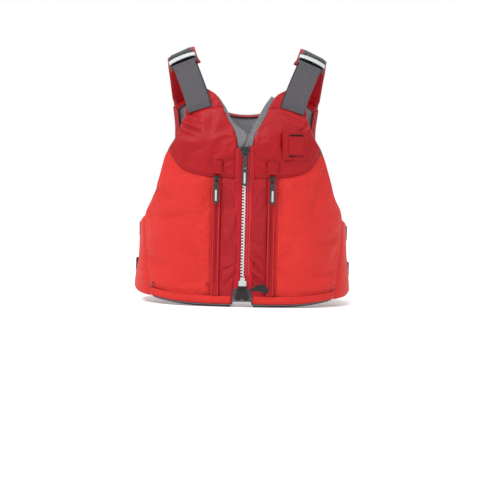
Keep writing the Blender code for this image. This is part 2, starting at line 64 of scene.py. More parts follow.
# The body form, as the frame has it: (height, half width), (height, depth)
HALF_WIDTH = ((0.0, 0.182), (0.03, 0.182), (0.076, 0.177), (0.138, 0.1735), (0.20, 0.170),
              (0.30, 0.165), (0.36, 0.160), (0.40, 0.155))
ZIP_LOW, ZIP_HIGH = 0.036, 0.262
FRONT_DEPTH = ((0.0, 0.1393), (ZIP_LOW, 0.1405), (0.15, 0.1443), (0.25, 0.1476),
               (ZIP_HIGH, 0.1475), (0.28, 0.1425), (0.30, 0.1335), (0.321, 0.121),
               (0.345, 0.105), (0.375, 0.080))
BACK_DEPTH = ((0.0, 0.132), (0.10, 0.122), (0.20, 0.130), (0.30, 0.131), (0.34, 0.1175),
              (0.375, 0.092))
OVAL_POWER = 2.5
FORM_Y = 0.0112
HEM_RISE, HEM_FLAT, HEM_BAND = 0.014, 0.06, 0.018

# Sewing lines of the wearer's left side, (x, z)
ZIP_EDGE = 0.0122
POCKET_ZIP = (0.0385, 0.0515)
POCKET_MIDDLE = 0.045
YOKE_LOW = ((ZIP_EDGE, 0.208), (0.041, 0.211), (0.080, 0.214), (0.104, 0.223), (0.119, 0.241),
            (0.128, 0.257))
YOKE_TOP = ((0.037, 0.327), (0.060, 0.3255), (0.101, 0.315))
NECK = ((ZIP_EDGE, 0.208), (ZIP_EDGE, 0.262), (0.015, 0.280), (0.026, 0.305), (0.037, 0.327))
NECK_TOP = ((0.037, 0.327), (0.050, 0.348), (0.066, 0.357))
ARMHOLE_HIGH = ((0.128, 0.257), (0.118, 0.273), (0.107, 0.298), (0.101, 0.315))
SIDE_EDGE = ((0.153, 0.003), (0.1556, 0.027), (0.161, 0.062), (0.1645, 0.106), (0.166, 0.150),
             (0.152, 0.178), (0.144, 0.204), (0.137, 0.230), (0.128, 0.257))
BACK_EDGE = ((0.148, 0.006), (0.1492, 0.0255), (0.151, 0.08), (0.149, 0.150), (0.142, 0.185),
             (0.135, 0.215))
BACK_ARM = ((0.135, 0.215), (0.131, 0.240), (0.127, 0.290), (0.131, 0.330))
BACK_TOP = ((-0.131, 0.330), (-0.105, 0.349), (-0.078, 0.347), (-0.045, 0.329), (0.0, 0.321),
            (0.045, 0.329), (0.078, 0.347), (0.105, 0.349), (0.131, 0.330))
BACK_SEAM = ((-0.135, 0.215), (-0.07, 0.206), (0.0, 0.203), (0.07, 0.206), (0.135, 0.215))
SHOULDER_LINE = ((0.076, -0.1038, 0.321), (0.084, -0.0873, 0.345), (0.093, -0.069, 0.368),
                 (0.102, -0.047, 0.390), (0.108, -0.029, 0.405), (0.112, -0.008, 0.4165),
                 (0.1135, 0.013, 0.4205), (0.1135, 0.033, 0.4165), (0.112, 0.056, 0.402),
                 (0.109, 0.080, 0.380), (0.106, 0.1025, 0.3545))
SHOULDER_SLOPE = (-16.0, -26.0)
BUCKLE_SHARE = 0.395
FOAM_TAPER = 0.040


@lru_cache(maxsize=4096)
def slopes_of(knots: tuple[float, ...], values: tuple[float, ...]) -> tuple[float, ...]:
    """Slope of a smooth line at each of its knots."""
    return tuple(float(slope) for slope in np.gradient(np.array(values), np.array(knots)))


def along(knots: Sequence[float], values: Sequence[float], at: float) -> float:
    """Smooth value at a place between knots.

    Args:
        knots: rising places.
        values: the value at each knot.
        at: the place asked for.

    Returns:
        The value there, on a cubic through the knots.
    """
    slopes = slopes_of(tuple(knots), tuple(values))
    i = min(max(bisect_left(knots, at) - 1, 0), len(knots) - 2)
    step = knots[i + 1] - knots[i]
    t = min(max((at - knots[i]) / step, 0.0), 1.0)
    start = values[i] * (2 * t**3 - 3 * t**2 + 1) + slopes[i] * step * (t**3 - 2 * t**2 + t)
    return start + values[i + 1] * (3 * t**2 - 2 * t**3) + slopes[i + 1] * step * (t**3 - t**2)


@lru_cache(maxsize=4096)
def measured(points: tuple[tuple[float, ...], ...]) -> tuple[tuple[float, ...], ...]:
    """Share of the length at each point of a line, then each coordinate's values."""
    spots = np.array(points, float)
    steps = np.linalg.norm(np.diff(spots, axis=0), axis=1)
    knots = np.concatenate([[0.0], np.cumsum(steps)]) / steps.sum()
    return (tuple(knots.tolist()), *(tuple(column.tolist()) for column in spots.T))


def on_line(points: Line, share: float) -> np.ndarray:
    """Point at a share of the way along a smooth line through points."""
    knots, *columns = measured(tuple(tuple(float(c) for c in point) for point in points))
    return np.array([along(knots, column, share) for column in columns])


def line_height(points: Line, x: float) -> float:
    """Height of a sewing line (x, z) where it crosses x."""
    low, high = 0.0, 1.0
    for _ in range(24):
        middle = (low + high) / 2
        if on_line(points, middle)[0] < x:
            low = middle
        else:
            high = middle
    return float(on_line(points, low)[1])


class Form:
    """The rounded body that every panel lies on."""

    @staticmethod
    def level(pairs: Line, height: float) -> float:
        """Width or depth of the form at a height."""
        return along([p[0] for p in pairs], [p[1] for p in pairs], height)

    @staticmethod
    def hem(x: float) -> float:
        """Height of the bottom edge at x: flat in the middle, rising to the sides."""
        share = max(0.0, (abs(x) - HEM_FLAT) / (HALF_WIDTH[0][1] - HEM_FLAT))
        return HEM_RISE * share * share

    @classmethod
    def front(cls, x: float, z: float) -> Vector:
        """Point of the form in front at x and z."""
        inside = max(0.0, 1.0 - (abs(x) / cls.level(HALF_WIDTH, z)) ** OVAL_POWER)
        return Vector((x, FORM_Y - cls.level(FRONT_DEPTH, z) * inside ** (1 / OVAL_POWER), z))

    @classmethod
    def back(cls, x: float, z: float) -> Vector:
        """Point of the form behind at x and z."""
        inside = max(0.0, 1.0 - (abs(x) / cls.level(HALF_WIDTH, z)) ** OVAL_POWER)
        return Vector((x, FORM_Y + cls.level(BACK_DEPTH, z) * inside ** (1 / OVAL_POWER), z))

    @classmethod
    def around(cls, turn: float, z: float) -> Vector:
        """Point of the form at a turn in degrees: 0 in front, 90 at the left, 180 behind."""
        angle = math.radians(turn)
        power = 2.0 / OVAL_POWER
        depth = BACK_DEPTH if turn > 90 else FRONT_DEPTH
        x = cls.level(HALF_WIDTH, z) * math.sin(angle) ** power
        y = cls.level(depth, z) * abs(math.cos(angle)) ** power
        return Vector((x, FORM_Y - math.copysign(y, math.cos(angle)), z))

    @staticmethod
    def outward(place: Callable[[float, float], Vector], u: float, z: float) -> Vector:
        """Unit normal of the form at place(u, z), away from its middle."""
        step = 0.4 if abs(u) > 1 else 0.001
        across = place(u + step, z) - place(u - step, z)
        up = place(u, z + 0.001) - place(u, z - 0.001)
        normal = across.cross(up).normalized()
        here = place(u, z)
        return normal if normal.dot(Vector((here.x, here.y - FORM_Y, 0.0))) > 0 else -normal


def coons(bottom: Line, right: Line, top: Line, left: Line, us: Sequence[float],
          vs: Sequence[float]) -> list[list[np.ndarray]]:
    """Flat grid (u, z) inside four smooth outlines; left and right run upwards."""
    corners = [on_line(bottom, 0), on_line(bottom, 1), on_line(top, 0), on_line(top, 1)]
    lows, highs = [on_line(bottom, u) for u in us], [on_line(top, u) for u in us]
    lefts, rights = [on_line(left, v) for v in vs], [on_line(right, v) for v in vs]
    grid = []
    for j, v in enumerate(vs):
        row = []
        for i, u in enumerate(us):
            ruled = (1 - v) * lows[i] + v * highs[i] + (1 - u) * lefts[j] + u * rights[j]
            mixed = (1 - v) * ((1 - u) * corners[0] + u * corners[1])
            row.append(ruled - mixed - v * ((1 - u) * corners[2] + u * corners[3]))
        grid.append(row)
    return grid


class Wire:
    """A shader value that Python's operators combine through Math nodes."""

    def __init__(self, recipe: "Recipe", socket: bpy.types.NodeSocket) -> None:
        """Keeps the socket and the recipe that it belongs to."""
        self.recipe = recipe
        self.socket = socket

    def math(self, operation: str, other: "Wire | float | None" = None,
             swapped: bool = False) -> "Wire":
        """This value put through a Math node, with another value where it takes two."""
        values = {0: self} if other is None else {0: self, 1: other}
        if swapped:
            values = {0: other, 1: self}
        return self.recipe.node("ShaderNodeMath", {"operation": operation}, values)

    def __add__(self, other: "Wire | float") -> "Wire":
        """Sum."""
        return self.math("ADD", other)

    def __sub__(self, other: "Wire | float") -> "Wire":
        """Difference."""
        return self.math("SUBTRACT", other)

    def __rsub__(self, other: float) -> "Wire":
        """Difference from a number."""
        return self.math("SUBTRACT", other, swapped=True)

    def __mul__(self, other: "Wire | float") -> "Wire":
        """Product."""
        return self.math("MULTIPLY", other)

    __radd__ = __add__
    __rmul__ = __mul__


class Weave(Enum):
    """Ways in which a finish's surface is made."""

    RIPSTOP = "ripstop"
    PLAIN = "plain"
    KNIT = "knit"
    WEBBING = "webbing"
    TAPE = "tape"
    SMOOTH = "smooth"


class Recipe:
    """One material's node tree around a Principled shader."""

    def __init__(self, name: str) -> None:
        """Makes the material with only its shader and output."""
        self.material = bpy.data.materials.new(name)
        self.material.use_nodes = True
        self.tree = self.material.node_tree
        self.shader = self.tree.nodes["Principled BSDF"]

    def node(self, kind: str, settings: dict | None = None, values: dict | None = None,
             output: int | str = 0) -> Wire:
        """Adds a node.

        Args:
            kind: the node's type.
            settings: its own settings, set first.
            values: numbers, colours or wires for its sockets, by index or name.
            output: which output is wanted.

        Returns:
            That output as a wire.
        """
        made = self.tree.nodes.new(kind)
        for name, value in (settings or {}).items():
            if name == "stops":
                ramp = made.color_ramp.elements
                for stop, (place, colour) in zip(ramp, value):
                    stop.position, stop.color = place, colour
            else:
                setattr(made, name, value)
        for name, value in (values or {}).items():
            self.feed(made.inputs[name], value)
        return Wire(self, made.outputs[output])

    def feed(self, socket: bpy.types.NodeSocket, value: object) -> None:
        """Links a wire to a socket, or sets a constant on it."""
        if isinstance(value, Wire):
            self.tree.links.new(value.socket, socket)
        else:
            socket.default_value = value

    def mix(self, share: Wire, first: Sequence[float] | Wire, second: Sequence[float] | Wire) -> Wire:
        """Colour between two colours, by a share."""
        return self.node("ShaderNodeMix", {"data_type": "RGBA"}, {0: share, 6: first, 7: second}, 2)

    def noise(self, place: Wire, scale: float, detail: float = 3.0) -> Wire:
        """Noise from 0 to 1 at a place."""
        values = {"Vector": place, "Scale": scale, "Detail": detail}
        return self.node("ShaderNodeTexNoise", None, values, "Fac")

    def bump(self, height: Wire, depth: float) -> Wire:
        """Normal from a height, of a depth in metres."""
        values = {"Height": height, "Distance": depth, "Strength": 1.0}
        return self.node("ShaderNodeBump", None, values, "Normal")

    def thread(self, uv: Wire, axis: int, pitch: float, sharp: float) -> Wire:
        """Narrow ridges across one axis of the cloth, one each pitch."""
        parts = self.tree.nodes.new("ShaderNodeSeparateXYZ")
        self.feed(parts.inputs[0], uv)
        wave = (Wire(self, parts.outputs[axis]) * (2 * math.pi / pitch)).math("COSINE")
        return (wave * 0.5 + 0.5).math("POWER", sharp)


@dataclass(frozen=True)
class Finish:
    """One finish: its slot in the record, colours, shine and how it is woven.

    The pitch is the distance between ripstop lines, and lines is how much they darken the cloth.
    """

    name: str
    slot: str
    colour: tuple[float, float, float]
    shade: tuple[float, float, float]
    weave: Weave
    roughness: float = 0.7
    metallic: float = 0.0
    sheen: float = 0.0
    pitch: float = 0.0046
    grain: float = 0.00006
    gloss: float = 0.22
    lines: float = 0.32

    def material(self) -> bpy.types.Material:
        """The finish's material, made once."""
        found = bpy.data.materials.get(self.name)
        if found:
            return found
        recipe = Recipe(self.name)
        place = recipe.node("ShaderNodeTexCoord", None, None, "Object")
        uv = recipe.node("ShaderNodeTexCoord", None, None, "UV")
        broad = recipe.noise(place, 14.0)
        fine = recipe.noise(place, 900.0, 2.0)
        height, tint = self.surface(recipe, place, uv, fine)
        colour = recipe.mix((tint * 0.75 + broad * 0.5 - 0.12).math("MINIMUM", 1.0),
                            (*self.colour, 1.0), (*self.shade, 1.0))
        recipe.feed(recipe.shader.inputs["Base Color"], colour)
        rough = broad * 0.10 + fine * 0.06 + (self.roughness - 0.08)
        recipe.feed(recipe.shader.inputs["Roughness"], rough)
        recipe.feed(recipe.shader.inputs["Metallic"], self.metallic)
        recipe.feed(recipe.shader.inputs["Sheen Weight"], self.sheen)
        recipe.feed(recipe.shader.inputs["Sheen Roughness"], 0.45)
        recipe.feed(recipe.shader.inputs["Sheen Tint"], (*self.colour, 1.0))
        recipe.feed(recipe.shader.inputs["Specular IOR Level"], self.gloss)
        recipe.feed(recipe.shader.inputs["Normal"], recipe.bump(height, self.grain * 8))
        return recipe.material

    def surface(self, recipe: Recipe, place: Wire, uv: Wire, fine: Wire) -> tuple[Wire, Wire]:
        """Height of the surface and how far its colour turns to the shade, by weave."""
        if self.weave is Weave.RIPSTOP:
            grid = recipe.thread(uv, 0, self.pitch, 6.0).math(
                "MAXIMUM", recipe.thread(uv, 1, self.pitch, 6.0))
            cloth = recipe.thread(uv, 0, 0.0011, 1.0) * recipe.thread(uv, 1, 0.0011, 1.0)
            return grid * 0.8 + cloth * 0.25 + fine * 0.2, grid * self.lines + fine * 0.14
        if self.weave is Weave.WEBBING:
            ribs = recipe.thread(uv, 0, 0.0021, 1.5)
            weft = recipe.thread(uv, 1, 0.0016, 1.0)
            # The grooves between the ribs turn to the darker colour as painted shade; the weft adds tone.
            return ribs * 0.7 + weft * 0.5 + fine * 0.3, (1.0 - ribs) * 0.45 + weft * 0.25
        if self.weave is Weave.TAPE:
            ribs = recipe.thread(uv, 1, 0.0010, 1.0)
            return ribs + fine * 0.3, fine * 0.5
        if self.weave is Weave.KNIT:
            loops = recipe.thread(uv, 0, 0.0013, 1.0) * recipe.thread(uv, 1, 0.0017, 1.0)
            heather = recipe.noise(place, 420.0, 4.0)
            return loops * 0.8 + fine * 0.4, (heather * 2.4 - 0.7).math("MAXIMUM", 0.0)
        if self.weave is Weave.PLAIN:
            cloth = recipe.thread(uv, 0, 0.0009, 1.0) * recipe.thread(uv, 1, 0.0009, 1.0)
            return cloth * 0.5 + fine * 0.5, fine * 0.35
        return fine, fine * 0.4


RIPSTOP = Finish("bright ripstop", "red_ripstop", (0.54, 0.024, 0.019), (0.34, 0.009, 0.010),
                 Weave.RIPSTOP, 0.56, 0.0, 0.06, gloss=0.16)
# Darker copy of the bright ripstop: partly the cloth's own darker tone, partly painted shade of the
# recessed centre strips.
SHADED_CRIMSON = Finish("crimson ripstop with painted shade", "red_ripstop", (0.315, 0.004, 0.009), (0.21, 0.002, 0.005),
                 Weave.RIPSTOP, 0.48, 0.0, 0.05, lines=0.34, gloss=0.20)
NYLON = Finish("dark red nylon", "dark_red_nylon", (0.305, 0.0025, 0.006), (0.195, 0.0008, 0.0035),
               Weave.PLAIN, 0.40, 0.0, 0.02, grain=0.00003, gloss=0.17)
TAPE = Finish("zip tape", "red_zip_tape", (0.42, 0.004, 0.014), (0.30, 0.002, 0.009),
              Weave.TAPE, 0.6, 0.0, 0.1, grain=0.00004)
WELT = Finish("welt cord", "red_ripstop", (0.50, 0.014, 0.016), (0.38, 0.008, 0.010),
              Weave.TAPE, 0.55, 0.0, 0.1, grain=0.00004)
LINING = Finish("heather lining", "grey_lining", (0.21, 0.21, 0.22), (0.10, 0.10, 0.108),
                Weave.KNIT, 0.85, 0.0, 0.3, grain=0.0001)
# The lining's grey at the hem's foot, much darker: painted shade under the turned hem.
SHADED_BINDING = Finish("hem binding in painted shade", "grey_lining", (0.060, 0.062, 0.066), (0.035, 0.036, 0.04),
                 Weave.KNIT, 0.85, 0.0, 0.2)
WEBBING = Finish("charcoal webbing", "grey_webbing", (0.088, 0.082, 0.094), (0.046, 0.043, 0.050),
                 Weave.WEBBING, 0.62, 0.0, 0.35, grain=0.0001)
# The strap's lower layer: the same webbing as the upper one, darkened as painted shade beneath it.
SHADED_WEBBING = Finish("webbing in painted shade", "grey_webbing", (0.035, 0.033, 0.038), (0.02, 0.02, 0.022),
                       Weave.WEBBING, 0.7, 0.0, 0.2, grain=0.0001)
BLACK = Finish("black acetal", "black_plastic", (0.012, 0.012, 0.013), (0.02, 0.02, 0.021),
               Weave.SMOOTH, 0.42, grain=0.00001, gloss=0.5)
ENAMEL = Finish("black enamel", "black_metal", (0.010, 0.010, 0.011), (0.016, 0.016, 0.017),
                Weave.SMOOTH, 0.30, 0.3, grain=0.000006, gloss=0.5)
TEETH = Finish("zip teeth", "tooth_plastic", (0.56, 0.57, 0.58), (0.46, 0.47, 0.49),
               Weave.SMOOTH, 0.32, grain=0.000006, gloss=0.5)
PALE = Finish("pale moulding", "pale_grey_plastic", (0.42, 0.44, 0.445), (0.32, 0.34, 0.35),
              Weave.SMOOTH, 0.45, grain=0.00001, gloss=0.5)
FILM = Finish("black film", "black_film", (0.010, 0.009, 0.010), (0.018, 0.017, 0.018),
              Weave.SMOOTH, 0.35, grain=0.00002)
PATCH = Finish("dark patch", "black_patch", (0.028, 0.022, 0.024), (0.018, 0.015, 0.016),
               Weave.PLAIN, 0.6, 0.0, 0.1)
# The pocket zip's coil: partly its own dark red, partly painted shadow of the slit it lies in.
COIL_AND_SLIT_SHADOW = Finish("coil and painted slit shadow", "dark_red_nylon", (0.10, 0.004, 0.006), (0.05, 0.002, 0.003),
              Weave.SMOOTH, 0.6)
THREAD = Finish("red thread", "dark_red_nylon", (0.30, 0.008, 0.014), (0.22, 0.005, 0.01),
                Weave.SMOOTH, 0.6)
BLACK_THREAD = Finish("dark thread", "grey_webbing", (0.03, 0.03, 0.032), (0.02, 0.02, 0.022),
                      Weave.SMOOTH, 0.7)
PALE_THREAD = Finish("pale thread", "pale_grey_plastic", (0.62, 0.16, 0.17), (0.5, 0.10, 0.11),
                     Weave.SMOOTH, 0.6)


def dress(piece: bpy.types.Object, finish: Finish, body: str, *nodes: str) -> bpy.types.Object:
    """Gives a piece its finish, the body it rides on and the nodes it stands for."""
    piece.data.materials.clear()
    piece.data.materials.append(finish.material())
    if body:
        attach(piece, body)
    if nodes:
        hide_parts(*nodes)
    LOG.info("%s on %s", piece.name, body or "two bodies")
    return piece


@dataclass
class Crease:
    """A soft fold in a panel, from one point (x, z) to another; a depth below 0 stands proud."""

    start: tuple[float, float]
    end: tuple[float, float]
    width: float = 0.006
    depth: float = 0.0018

    def at(self, x: float, z: float) -> float:
        """Depth of the fold at a point of the panel."""
        dx, dz = self.end[0] - self.start[0], self.end[1] - self.start[1]
        t = ((x - self.start[0]) * dx + (z - self.start[1]) * dz) / (dx * dx + dz * dz)
        t = min(max(t, 0.0), 1.0)
        gap = math.hypot(x - self.start[0] - t * dx, z - self.start[1] - t * dz)
        fade = math.sin(math.pi * min(max(t, 0.02), 0.98)) ** 0.5
        return self.depth * fade * math.exp(-(gap / self.width) ** 2)


def object_of(name: str, form: bmesh.types.BMesh) -> bpy.types.Object:
    """Turns a finished form into an object of the scene."""
    mesh = bpy.data.meshes.new(name)
    form.to_mesh(mesh)
    form.free()
    made = bpy.data.objects.new(name, mesh)
    bpy.context.scene.collection.objects.link(made)
    return made


@dataclass
class Edges:
    """What happens at a panel's four edges: 0 is a sewn seam, more is how deep it turns in."""

    low: float = 0.0
    high: float = 0.0
    first: float = 0.0
    last: float = 0.0
    corner: float = 0.007
    valley: float = 0.0022
    slope: float = 0.009


@dataclass
class Panel:
    """A cloth panel on the form, with sewn or turned edges, slack and folds."""

    name: str
    outline: tuple[Line, Line, Line, Line]
    place: Callable[[float, float], Vector]
    side: int = 1
    count: tuple[int, int] = (30, 40)
    edges: Edges = field(default_factory=Edges)
    lift: float = 0.0
    waver: float = 0.0008
    creases: tuple[Crease, ...] = ()
    inward: Callable[[float], float] | None = None
    thick: float = 0.0009
    loose: float = 0.03
    crowd: float = 0.0

    def shares(self, count: int, low: float, high: float) -> list[tuple[float, float]]:
        """Grid lines as (share, extra depth), with the turned edges' walls at both ends."""
        lines = [(0.0, low * k / 3) for k in (3, 2, 1)] if low else []
        even = np.linspace(0, 1, count + 1)
        even = even - self.crowd * np.sin(2 * np.pi * even) / (2 * np.pi)
        lines += [(float(s), 0.0) for s in even]
        return lines + ([(1.0, high * k / 3) for k in (1, 2, 3)] if high else [])

    def build(self) -> bpy.types.Object:
        """Makes the panel's mesh.

        Returns:
            The panel, an open sheet with a UV map in metres and a group that pins its edges.
        """
        e = self.edges
        columns = self.shares(self.count[0], e.first, e.last)
        rows = self.shares(self.count[1], e.low, e.high)
        flat = coons(*self.outline, [c[0] for c in columns], [r[0] for r in rows])
        spots = np.array([[self.place(u, z) for u, z in row] for row in flat])
        normals = np.array([[Form.outward(self.place, u, z) for u, z in row] for row in flat])
        depth = self.depths(spots, flat, columns, rows)
        spots = spots - normals * depth[..., None]
        spots[..., 0] *= self.side
        return self.mesh(spots, columns, rows)

    def depths(self, spots: np.ndarray, flat: list, columns: list, rows: list) -> np.ndarray:
        """How far inwards each point lies: rounded turned edges, seam valleys, folds and walls."""
        e = self.edges
        near = self.gaps(spots)
        total = np.zeros(spots.shape[:2])
        for key, turned in (("low", e.low), ("high", e.high), ("first", e.first), ("last", e.last)):
            gap = near[key]
            if turned:
                corner = min(e.corner, turned)
                inside = np.clip(corner - gap, 0.0, corner)
                total = np.maximum(total, corner - np.sqrt(corner**2 - inside**2))
            else:
                total += e.valley * np.exp(-(gap / e.slope) ** 2)
        for j, row in enumerate(rows):
            for i, column in enumerate(columns):
                u, z = flat[j][i]
                wall = max(row[1], column[1])
                total[j, i] += wall
                if wall == 0.0:
                    total[j, i] += sum(crease.at(u, z) for crease in self.creases)
                    here = Vector(spots[j, i]) * 22.0 + Vector((self.side * 7.0, 0, 0))
                    total[j, i] -= self.waver * noise.noise(here)
                if self.inward:
                    total[j, i] += self.inward(min(near[k][j, i] for k in near))
        return total - self.lift

    def gaps(self, spots: np.ndarray) -> dict[str, np.ndarray]:
        """Distance of each point to each of the four edges, along the grid."""
        across = np.linalg.norm(np.diff(spots, axis=1), axis=2)
        up = np.linalg.norm(np.diff(spots, axis=0), axis=2)
        first = np.pad(np.cumsum(across, axis=1), ((0, 0), (1, 0)))
        low = np.pad(np.cumsum(up, axis=0), ((1, 0), (0, 0)))
        return {"first": first, "last": first[:, -1:] - first, "low": low, "high": low[-1:] - low}

    def mesh(self, spots: np.ndarray, columns: list, rows: list) -> bpy.types.Object:
        """Grid mesh with its UV map and its pinned edge."""
        height, width = spots.shape[:2]
        form = bmesh.new()
        points = [form.verts.new(spot) for spot in spots.reshape(-1, 3)]
        sheet = form.loops.layers.uv.new("cloth")
        gap = self.gaps(spots)
        for j in range(height - 1):
            for i in range(width - 1):
                order = [(j, i), (j, i + 1), (j + 1, i + 1), (j + 1, i)]
                order = order if self.facing_out() else order[::-1]
                face = form.faces.new([points[a * width + b] for a, b in order])
                for loop, (a, b) in zip(face.loops, order):
                    loop[sheet].uv = (gap["first"][a, b], gap["low"][a, b])
        made = object_of(self.name, form)
        made.data.shade_smooth()
        pinned = made.vertex_groups.new(name="sewn")
        for j in range(height):
            for i in range(width):
                edge = j < 2 or i < 2 or j > height - 3 or i > width - 3
                if edge or rows[j][1] or columns[i][1]:
                    pinned.add([j * width + i], 1.0, "REPLACE")
        return made

    def facing_out(self) -> bool:
        """Whether the grid's order already faces out on this side of the form."""
        return (self.place != Form.back) == (self.side > 0)


class Tailor:
    """Eases the sewn panels by cloth simulation and gives them their thickness."""

    frames = 18
    cap_out = 0.0026
    cap_in = 0.0030
    cap_across = 0.0030
    bulge = 1.2

    def __init__(self) -> None:
        """Starts with no panels."""
        self.panels: list[tuple[Panel, bpy.types.Object]] = []

    def take(self, panel: Panel) -> bpy.types.Object:
        """Builds a panel and keeps it for the simulation."""
        made = panel.build()
        self.panels.append((panel, made))
        return made

    def simulate(self) -> None:
        """Lets each loose panel's slack settle between its sewn edges, within a cap."""
        scene = bpy.context.scene
        slack = [(panel, made) for panel, made in self.panels if panel.loose]
        for panel, made in slack:
            cloth = made.modifiers.new("cloth", "CLOTH")
            settings = cloth.settings
            settings.quality = 5
            settings.mass = 0.12
            settings.tension_stiffness = settings.compression_stiffness = 18.0
            settings.shear_stiffness = 8.0
            settings.bending_stiffness = 0.12
            settings.shrink_min = -panel.loose
            settings.use_pressure = True
            settings.uniform_pressure_force = self.bulge
            settings.vertex_group_mass = "sewn"
            settings.effector_weights.gravity = 0.0
            cloth.point_cache.frame_start, cloth.point_cache.frame_end = 1, self.frames
        for number in range(1, self.frames + 1):
            scene.frame_set(number)
        graph = bpy.context.evaluated_depsgraph_get()
        settled = {made.name: self.places(made.evaluated_get(graph).data)
                   for _, made in slack}
        scene.frame_set(1)
        for _, made in slack:
            made.modifiers.clear()
            self.cap(made, settled[made.name])

    @staticmethod
    def places(mesh: bpy.types.Mesh) -> np.ndarray:
        """A mesh's points."""
        found = np.empty(len(mesh.vertices) * 3, np.float32)
        mesh.vertices.foreach_get("co", found)
        return found.reshape(-1, 3).astype(float)

    def cap(self, made: bpy.types.Object, settled: np.ndarray) -> None:
        """Moves the points to their settled places, no further than the cap allows."""
        start = self.places(made.data)
        normals = np.array([v.normal for v in made.data.vertices])
        moved = settled - start
        out = (moved * normals).sum(1)
        flat = moved - normals * out[:, None]
        length = np.maximum(np.linalg.norm(flat, axis=1), 1e-9)
        flat *= np.minimum(1.0, self.cap_across / length)[:, None]
        out = np.where(out > 0, self.cap_out * np.tanh(out / self.cap_out),
                       self.cap_in * np.tanh(out / self.cap_in))
        made.data.vertices.foreach_set("co", (start + flat + normals * out[:, None]).ravel())
        made.data.update()

    def finish(self) -> None:
        """Subdivides and thickens every panel."""
        self.simulate()
        for panel, made in self.panels:
            made.vertex_groups.clear()
            thicken(made, panel.thick)


def thicken(made: bpy.types.Object, thick: float, levels: int = 1) -> None:
    """Gives a sheet smooth faces and a closed thickness inwards."""
    if levels:
        smooth = made.modifiers.new("smooth", "SUBSURF")
        smooth.levels = smooth.render_levels = levels
    wall = made.modifiers.new("wall", "SOLIDIFY")
    wall.thickness = thick
    wall.offset = -1.0
    apply_all(made)


def apply_all(made: bpy.types.Object) -> None:
    """Applies every modifier of a piece."""
    bpy.ops.object.select_all(action="DESELECT")
    made.select_set(True)
    bpy.context.view_layer.objects.active = made
    for modifier in list(made.modifiers):
        bpy.ops.object.modifier_apply(modifier=modifier.name)


def foam_depth(thick: float, extra: float) -> Callable[[float], float]:
    """Depth of a foam insert's inner face by the distance to its edge, as the frame has it."""
    def depth(gap: float) -> float:
        wall = min(1.0, gap / 0.005) ** 0.5
        share = min(1.0, gap / FOAM_TAPER)
        return extra + thick * (0.35 * wall + 0.65 * math.sin(share * math.pi / 2))
    return depth


SMOOTH_ANGLE = math.radians(50)


